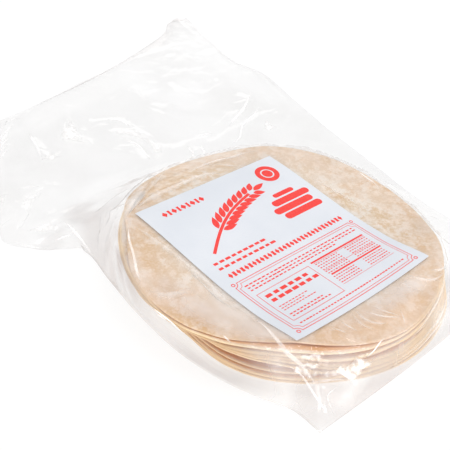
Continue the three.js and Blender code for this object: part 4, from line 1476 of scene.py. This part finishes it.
def lay_tortilla(number):
    """Makes a tortilla and lays it in its place in the stack."""
    on_top = number == TORTILLA_COUNT - 1
    shares = sorted(set(RING_SHARES) | set(TOP_RINGS)) if on_top else RING_SHARES
    segments = TOP_SEGMENTS if on_top else SEGMENTS
    points, faces = flat_disc(segments, shares)
    piece = mesh_piece("tortilla_%02d" % (number + 1), points, faces, dough, "tortilla", "bag")
    run_tree(piece, uneven_disc, Rim_unevenness=RIM_UNEVENNESS,
             Blister_height=TOP_BLISTERS if on_top else BLISTERS,
             Seed=float(number * 3.7), Material=dough)
    place = np.empty(len(piece.data.vertices) * 3)
    piece.data.vertices.foreach_get("co", place)
    place = place.reshape(-1, 3) / MM

    lean = 1 - (number + 0.5) / TORTILLA_COUNT
    slip = np.zeros(2) if on_top else stack_draws.normal(0, SLIP, 2).clip(-MOST_SLIP, MOST_SLIP)
    turn, size = stack_draws.uniform(0, 2 * math.pi), 1.0 if on_top else LOWER_SIZE
    x = (place[:, 0] * math.cos(turn) - place[:, 1] * math.sin(turn)) * size
    y = (place[:, 0] * math.sin(turn) + place[:, 1] * math.cos(turn)) * size
    if on_top:
        drawn = dented(x, y, TOP_DENTS, 1)
    else:
        drawn = dented(x, y, LOW_DENTS, smoothstep(lean, *LOW_DENT_STARTS))
    is_second = number == TORTILLA_COUNT - 2
    bare = bell(turned_from(TOP_DENTS[0][0], x, y), 0, BARE_REACH) if is_second else 0
    x = x * drawn + BASE_SHIFT[0] * lean + slip[0]
    y = y * drawn + BASE_SHIFT[1] * lean + slip[1]
    height, room = seat(number, x, y)
    z = height + place[:, 2] * np.minimum(1, room / DOUGH_THICKNESS * PRESSED)
    piece.data.vertices.foreach_set("co", (np.stack([x, y, z], -1) * MM).ravel())

    under = smoothstep(-place[:, 2], -0.1, 0.35)
    toasted = bell(turned_from(TOAST_WAY, x, y), 0, TOAST_REACH)
    toasted = LEAST_TOAST + (1 - LEAST_TOAST) * toasted
    rim, cream = rim_colours(number, rim_share(place, segments), under, toasted, bare)
    set_shares(piece, "rim", rim)
    set_shares(piece, "cream_edge_and_light", cream)
    piece.data.update()
    return piece


tortillas = [lay_tortilla(number) for number in range(TORTILLA_COUNT)]
print("tortillas:", len(tortillas), "of", sum(len(t.data.polygons) for t in tortillas), "faces")

# %% [markdown]
# ## Label
# The label is a sheet of coated paper stuck to the film, so it takes the lid's curve. It could be a
# plane that is wrapped on with a Shrinkwrap modifier, but the lid's height is known at every place,
# so the sheet is simply made at that height. Its white is a little blue, with a trace of fibre.

# %% Paper and ink
def paper_material():
    material, tree, shader = new_material("coated_paper", Roughness=0.5)
    place = own_place(tree)
    fibre, cloud = noise_at(tree, place, 900.0, 4.0), noise_at(tree, place, 30.0, 2.0)
    clouds = remap(tree, cloud, 0.3, 0.7, 0, 1)
    colour = mix_colour(tree, clouds, linear(226, 229, 234), linear(220, 224, 230))
    colour = mix_colour(tree, remap(tree, fibre, 0.45, 0.8, 0, 0.25), colour, linear(212, 216, 226))
    bump = node(tree, "ShaderNodeBump", {"Height": fibre, "Strength": 0.25, "Distance": 0.0001})
    feed(tree, shader.inputs["Base Color"], colour)
    feed(tree, shader.inputs["Normal"], bump.outputs[0])
    return material


def ink_material():
    material, tree, shader = new_material("red_ink", Roughness=0.45)
    grain = remap(tree, noise_at(tree, own_place(tree), 700.0, 3.0), 0.4, 0.75, 0, 0.6)
    colour = mix_colour(tree, grain, linear(243, 60, 54), linear(246, 86, 78))
    feed(tree, shader.inputs["Base Color"], colour)
    return material


paper, red_ink = paper_material(), ink_material()
print("materials:", paper.name, "and", red_ink.name)

# %% The label's sheet
PAPER_LOW, PAPER_HIGH = 0.12, 0.3  # the paper's two sides over the lid
PAPER_GRID = (65, 56)  # rows and columns
LABEL_LEFT = LABEL_CENTRE[0] - LABEL_SIZE[0] / 2
LABEL_FOOT = LABEL_CENTRE[1] - LABEL_SIZE[1] / 2


def label_sheet():
    """Two grids of points that follow the lid, with the faces that close them."""
    rows, columns = PAPER_GRID
    y, x = np.meshgrid(np.linspace(0, LABEL_SIZE[1], rows) + LABEL_FOOT,
                       np.linspace(0, LABEL_SIZE[0], columns) + LABEL_LEFT, indexing="ij")
    sides = [np.stack([x, y, lid_height(x, y) + height], -1).reshape(-1, 3)
             for height in (PAPER_HIGH, PAPER_LOW)]
    return np.concatenate(sides), closed_faces(rows, columns)


label_piece = mesh_piece("label_sheet", *label_sheet(), paper, "label_paper", "label", smooth=False)
print("label:", len(label_piece.data.polygons), "faces")

# %% [markdown]
# ## Print
# The label is printed in one red ink with plain generic shapes: a wheat ear, a ringed disc, a few
# rounded bars, rows of dashes where small print would be, and a double frame round a ruled table.
# Each shape is a thin layer of ink that follows the paper. Rows of dashes repeat along lines, so a
# Geometry Nodes tree sets them out, and the other shapes are drawn as corners.

# %% Rows of dashes
def dash_tree():
    """Turns every edge into a row of dashes of uneven length."""
    tree = bpy.data.node_groups.new("dash_rows", "GeometryNodeTree")
    tree.interface.new_socket("Geometry", in_out="INPUT", socket_type="NodeSocketGeometry")
    for name, kind in (
        ("Pitch", "Float"), ("Height", "Float"), ("Shortest", "Float"), ("Longest", "Float"),
        ("Seed", "Int"), ("Material", "Material"),
    ):
        tree.interface.new_socket(name, in_out="INPUT", socket_type="NodeSocket" + kind)
    tree.interface.new_socket("Geometry", in_out="OUTPUT", socket_type="NodeSocketGeometry")
    given = node(tree, "NodeGroupInput").outputs
    curve = node(tree, "GeometryNodeMeshToCurve", {"Mesh": given["Geometry"]}).outputs[0]
    spaced = node(tree, "GeometryNodeResampleCurve", {
        "Curve": curve, "Length": given["Pitch"]}, mode="LENGTH").outputs[0]
    dash = node(tree, "GeometryNodeMeshGrid", {
        "Size X": 1.0, "Size Y": 1.0, "Vertices X": 2, "Vertices Y": 2}).outputs[0]
    share = node(tree, "FunctionNodeRandomValue", data_type="FLOAT")
    for place, value in ((2, given["Shortest"]), (3, given["Longest"]), (8, given["Seed"])):
        tree.links.new(value, share.inputs[place])
    length = math_node(tree, "MULTIPLY", share.outputs[1], given["Pitch"])
    size = node(tree, "ShaderNodeCombineXYZ", {0: length, 1: given["Height"], 2: 1.0}).outputs[0]
    dashes = node(tree, "GeometryNodeInstanceOnPoints", {
        "Points": spaced, "Instance": dash, "Scale": size}).outputs[0]
    real = node(tree, "GeometryNodeRealizeInstances", {"Geometry": dashes}).outputs[0]
    painted = node(tree, "GeometryNodeSetMaterial", {
        "Geometry": real, "Material": given["Material"]}).outputs[0]
    tree.links.new(painted, node(tree, "NodeGroupOutput").inputs[0])
    return tree


dash_rows = dash_tree()
print("tree:", dash_rows.name, "with", len(dash_rows.nodes), "nodes")


def dashes(rows, pitch, height, shortest=0.45, longest=0.85, seed=1):
    """Rows of (left, right, y) on the label, in millimetres, as flat quads."""
    mesh = bpy.data.meshes.new("rows")
    points, edges = [], []
    for left, right, y in rows:
        edges.append((len(points), len(points) + 1))
        points += [(left * MM, y * MM, 0), (right * MM, y * MM, 0)]
    mesh.from_pydata(points, edges, [])
    piece = bpy.data.objects.new("rows", mesh)
    bpy.context.scene.collection.objects.link(piece)
    run_tree(piece, dash_rows, Pitch=pitch * MM, Height=height * MM, Shortest=shortest,
             Longest=longest, Seed=seed, Material=red_ink)
    made = [[tuple(piece.data.vertices[i].co[k] / MM for k in (0, 1)) for i in face.vertices]
            for face in piece.data.polygons]
    mesh = piece.data
    bpy.data.objects.remove(piece)
    bpy.data.meshes.remove(mesh)
    return made


# %% [markdown]
# The other shapes are few, so each is a short function that gives its corners: bars, rings, lines,
# grains of wheat, frames and diamonds. They are flat polygons in millimetres from the label's lower
# left corner, and are bent onto the paper all together at the end.

# %% Shapes of ink
def on_circle(cx, cy, radius, angle):
    return cx + radius * math.cos(angle), cy + radius * math.sin(angle)


def bar(left, right, low, high, corner=0.0):
    """A bar, with its corners cut round."""
    if corner == 0:
        return [[(left, low), (right, low), (right, high), (left, high)]]
    points = []
    for cx, cy, start in ((right - corner, high - corner, 0), (left + corner, high - corner, 90),
                          (left + corner, low + corner, 180), (right - corner, low + corner, 270)):
        angles = [math.radians(start + step * 22.5) for step in range(5)]
        points += [on_circle(cx, cy, corner, a) for a in angles]
    return [points]


def ring(cx, cy, inner, outer, steps=40):
    """A ring as a strip of quads, or a disc where inner is 0."""
    turn = [2 * math.pi * i / steps for i in range(steps)]
    if inner == 0:
        return [[on_circle(cx, cy, outer, a) for a in turn]]
    return [[on_circle(cx, cy, inner, a), on_circle(cx, cy, outer, a),
             on_circle(cx, cy, outer, b), on_circle(cx, cy, inner, b)]
            for a, b in zip(turn, turn[1:] + turn[:1])]


def line_of_ink(corners, width):
    """A line of one width through the corners, with mitred joints."""
    p = np.array(corners, float)
    way = np.diff(p, axis=0)
    way /= np.linalg.norm(way, axis=1, keepdims=True)
    side = np.stack([-way[:, 1], way[:, 0]], -1)
    joint = np.vstack([side[:1], side[:-1] + side[1:], side[-1:]])
    joint /= np.linalg.norm(joint, axis=1, keepdims=True)
    reach = np.concatenate([[1], (joint[1:-1] * side[1:]).sum(1), [1]])
    half = joint * (width / 2 / np.maximum(reach, 0.5))[:, None]
    return [[tuple(p[i] - half[i]), tuple(p[i + 1] - half[i + 1]),
             tuple(p[i + 1] + half[i + 1]), tuple(p[i] + half[i])] for i in range(len(p) - 1)]


def grain_of_wheat(x, y, angle, length, width, steps=9):
    """A pointed grain that starts at (x, y)."""
    shares = [step / (steps - 1) for step in range(steps)]
    outline = []
    for t, side in [(t, 1) for t in shares] + [(1 - t, -1) for t in shares[1:]]:
        across = side * width / 2 * math.sin(math.pi * t**0.8)
        outline.append((x + length * t * math.cos(angle) - across * math.sin(angle),
                        y + length * t * math.sin(angle) + across * math.cos(angle)))
    return [outline[:-1][::-1]]


STEM_STEPS, STEM_SHOWN, STEM_WIDTH = 29, 26, 1.9  # the last grain covers the stem's end
GRAINS_START, GRAINS_REACH = 0.30, 0.60  # the shares of the stem where its pairs of grains sit
GRAIN_LENGTH, GRAIN_WIDTH, GRAIN_TURN, GRAIN_OFFSET = 10.5, 3.9, 0.62, 1.5
GRAIN_TAPER = 3.0  # the upper grains are up to this much shorter


def wheat_ear(start, end, bend, pairs):
    """An ear of wheat along a bowed stem: the stem, pairs of grains and one grain at the tip."""
    start, end = np.array(start, float), np.array(end, float)
    side = np.array([start[1] - end[1], end[0] - start[0]])
    t = np.linspace(0, 1, STEM_STEPS + 1)[:, None]
    stem = start + (end - start) * t + side * bend * np.sin(np.pi * t)
    made = line_of_ink(stem[:STEM_SHOWN], STEM_WIDTH)
    for number in range(pairs):
        place = (GRAINS_START + GRAINS_REACH * number / (pairs - 1)) * STEM_STEPS
        i = min(int(place), STEM_STEPS - 1)
        at = stem[i] + (stem[i + 1] - stem[i]) * (place - i)
        way = math.atan2(*(stem[i + 1] - stem[i])[::-1])
        length = GRAIN_LENGTH - GRAIN_TAPER * number / pairs
        for turn in (GRAIN_TURN, -GRAIN_TURN):
            offset = math.copysign(GRAIN_OFFSET, turn)
            root = (at[0] - offset * math.sin(way), at[1] + offset * math.cos(way))
            made += grain_of_wheat(*root, way + turn, length, GRAIN_WIDTH)
    way = math.atan2(*(stem[-1] - stem[-2])[::-1])
    return made + grain_of_wheat(*stem[-3], way, GRAIN_LENGTH, GRAIN_WIDTH)


def notched_frame(left, right, low, high, notch, width):
    """A thin frame whose corners are cut by quarter circles."""
    corners = []
    for cx, cy, start in (
            (left, low, 90), (right, low, 180), (right, high, 270), (left, high, 360)):
        angles = [math.radians(start - step * 18) for step in range(6)]
        corners += [on_circle(cx, cy, notch, a) for a in angles]
    return line_of_ink(corners + [corners[0]], width)


def diamond(x, y, wide, high):
    return [[(x - wide / 2, y), (x, y - high / 2), (x + wide / 2, y), (x, y + high / 2)]]


# %% Set out the upper half: a short row, a wheat ear, a ringed disc, bars and small dashes
ink = []
for number in range(5):
    ink += diamond(13 + 7 * number, 117, 3.6, 4.6)
    if number < 4:
        ink += bar(15.7 + 7 * number, 17.3 + 7 * number, 114.8, 119.2)
ink += wheat_ear((15, 76), (79, 107), 0.08, 9)
ink += ring(94, 114, 0, 3.6) + ring(94, 114, 4.6, 8)
for row, (left, right) in enumerate(((73, 104), (70, 102), (74, 105))):
    ink += bar(left, right, 74 + 6.2 * row, 79 + 6.2 * row, 2.4)
ink += bar(80, 97, 92.8, 96.2, 1.6)
ink += dashes([(10, 46, 69.4), (10, 50, 65)], 4.4, 1.7, 0.6, 0.85, 2)
for number in range(16):
    ink += diamond(10.5 + 6 * number, 58, 2.6, 4.2)
    if number < 15:
        ink += bar(12.6 + 6 * number, 14.4 + 6 * number, 56.2, 59.8)
print("upper half:", len(ink), "shapes")

# %% Set out the lower half: a double frame round small dashes and a ruled table
ink += notched_frame(6, 104, 4, 52, 3.0, 0.4) + notched_frame(7.6, 102.4, 5.6, 50.4, 3.0, 0.28)
for x in (6.4, 103.6):
    for y in (4.4, 51.6):
        ink += ring(x, y, 0.7, 1.2, 14)
ink += dashes([(12, 98, 47.2), (12, 98, 45.0), (12, 78, 42.8)], 3.1, 0.85, 0.5, 0.85, 3)
ink += line_of_ink([(11, 12), (51, 12), (51, 38.5), (11, 38.5), (11, 12.2)], 0.3)
ink += dashes([(16, 44, 34.4), (16, 48, 30.2)], 5.2, 2.3, 0.6, 0.88, 4)
ink += dashes([(14.5, 34, 24.6), (14.5, 30, 22.8), (14.5, 37, 21.0)], 2.2, 0.6, 0.5, 0.85, 5)
ink += dashes([(14.5, 38, 16.8), (14.5, 42, 14.8)], 2.6, 0.8, 0.5, 0.85, 6)
ink += bar(54, 99, 38.6, 39.8) + bar(56, 99, 25.0, 26.1)
for rows, first, reach, seed in ((6, 36.8, 17, 7), (4, 23.4, 16, 8)):
    table = [(x, x + reach, first - 1.9 * row) for row in range(rows) for x in (56, 81)]
    ink += dashes(table, 1.9, 0.7, 0.45, 0.8, seed)
for y in (37.9, 30.2, 16.0):
    ink += bar(55, 99, y - 0.1, y + 0.1)
ink += dashes([(13, 97, 8.6)], 2.4, 0.8, 0.5, 0.85, 9)
print("print:", len(ink), "shapes")

# %% The ink as one thin piece that follows the paper
INK_CELL = 4.0
INK_LOW, INK_HIGH = 0.01, 0.05  # the ink's two sides over the paper


def on_paper(x, y, is_upper):
    """Where a point of the print lies on the label."""
    x, y = x + LABEL_LEFT, y + LABEL_FOOT
    return x, y, float(lid_height(x, y)) + PAPER_HIGH + (INK_HIGH if is_upper else INK_LOW)


ink_points, ink_faces = thicken(cut_sheet(ink, INK_CELL), on_paper)
print_piece = mesh_piece("label_print", ink_points, ink_faces, red_ink, "label_ink", "label",
                         smooth=False)
print("ink:", len(print_piece.data.polygons), "faces")

# %% [markdown]
# ## Floor, light and camera
# A bright room lights the bag from all round, as a light tent does, so that the film shows as a
# light grey veil. Four soft lamps add the white glints: one overhead, a low one behind the bag, a
# low one in front of it, and a wide one from behind the camera.

# %% Floor
FLOOR_GLOW = 0.81  # keeps the floor white, as a light table does
FLOOR_SIZE, FLOOR_DROP = 4.0, 0.0002  # metres


def floor_material():
    material, tree, shader = new_material(
        "white_floor", Roughness=0.9, Specular_IOR_Level=0.1,
        Emission_Color=(1, 1, 1, 1), Emission_Strength=FLOOR_GLOW)
    cloud = noise_at(tree, own_place(tree), 3.0, 2.0)
    colour = mix_colour(tree, cloud, (0.20, 0.20, 0.20, 1), (0.22, 0.22, 0.22, 1))
    feed(tree, shader.inputs["Base Color"], colour)
    return material


floor_mesh = bpy.data.meshes.new("floor")
floor_mesh.from_pydata([(x * FLOOR_SIZE / 2, y * FLOOR_SIZE / 2, -FLOOR_DROP)
                        for x, y in ((-1, -1), (1, -1), (1, 1), (-1, 1))], [], [(0, 1, 2, 3)])
floor_mesh.materials.append(floor_material())
floor = bpy.data.objects.new("floor", floor_mesh)
bpy.context.scene.collection.objects.link(floor)
print("floor:", FLOOR_SIZE, "m across")

# %% Light
ROOM_LIGHT, CARD_LIGHT = 0.93, 0.50
ROOM_COLOUR = (0.99, 0.99, 1.0, 1)
CARD_WAY = (0.549, 0.702, 0.454)  # where the flat tail mirrors the camera's view
CARD_EDGE = (0.74, 0.97)  # the cosines at which the card ends and is whole


def room_light():
    """A bright light tent with one dim card, which flat film mirrors as its pale grey veil."""
    world = bpy.data.worlds.new("room")
    world.use_nodes = True
    tree = world.node_tree
    way = node(tree, "ShaderNodeTexCoord").outputs["Generated"]
    facing = node(tree, "ShaderNodeVectorMath", {0: way, 1: CARD_WAY}, operation="DOT_PRODUCT")
    background = tree.nodes["Background"].inputs
    feed(tree, background["Strength"],
         remap(tree, facing.outputs["Value"], *CARD_EDGE, ROOM_LIGHT, CARD_LIGHT))
    feed(tree, background["Color"], ROOM_COLOUR)
    return world


bpy.context.scene.world = room_light()


def soft_lamp(name, place, target, size, power):
    """A square lamp that points at its target. Sizes in metres, power in watts."""
    data = bpy.data.lights.new(name, "AREA")
    data.shape = "SQUARE"
    data.size = size
    data.energy = power
    lamp = bpy.data.objects.new(name, data)
    lamp.location = place
    lamp.rotation_euler = (Vector(target) - Vector(place)).to_track_quat("-Z", "Y").to_euler()
    bpy.context.scene.collection.objects.link(lamp)
    return lamp


AIM = (0.02, 0.03, 0.0)
lamps = [soft_lamp(name, place, AIM, size, power) for name, place, size, power in (
    ("over_lamp", (0.18, -0.14, 1.20), 0.50, 2.5),
    ("back_lamp", (1.07, 1.42, 0.27), 0.60, 1.3),
    ("front_lamp", (-0.10, -1.05, 0.17), 0.26, 1.0),
    ("fill_lamp", (-0.85, -0.95, 0.24), 0.70, 4.0),
)]
print("lamps:", len(lamps))

# %% [markdown]
# The camera stands in front of the bag and to its left, and looks down at it at about 35 degrees.
# Its place and its three axes are given as they are, because one turned matrix is easier to check
# than three turns about different axes.

# %% Camera
CAMERA_PLACE = (-0.29147, -0.24127, 0.29963)
CAMERA_RIGHT = (0.73277, -0.67701, 0.06860)
CAMERA_UP = (0.35010, 0.46153, 0.81512)
CAMERA_BACK = (-0.58350, -0.57328, 0.57522)
CAMERA_LENS, SENSOR_WIDTH, NEAREST = 64.0, 36.0, 0.01
camera_data = bpy.data.cameras.new("camera")
camera_data.lens = CAMERA_LENS
camera_data.sensor_width = SENSOR_WIDTH
camera_data.clip_start = NEAREST
camera = bpy.data.objects.new("camera", camera_data)
turn = Matrix((CAMERA_RIGHT, CAMERA_UP, CAMERA_BACK)).transposed().to_4x4()
camera.matrix_world = Matrix.Translation(CAMERA_PLACE) @ turn
bpy.context.scene.collection.objects.link(camera)
bpy.context.scene.camera = camera
bpy.context.scene.view_settings.view_transform = "Standard"
print("camera:", camera_data.lens, "mm lens")
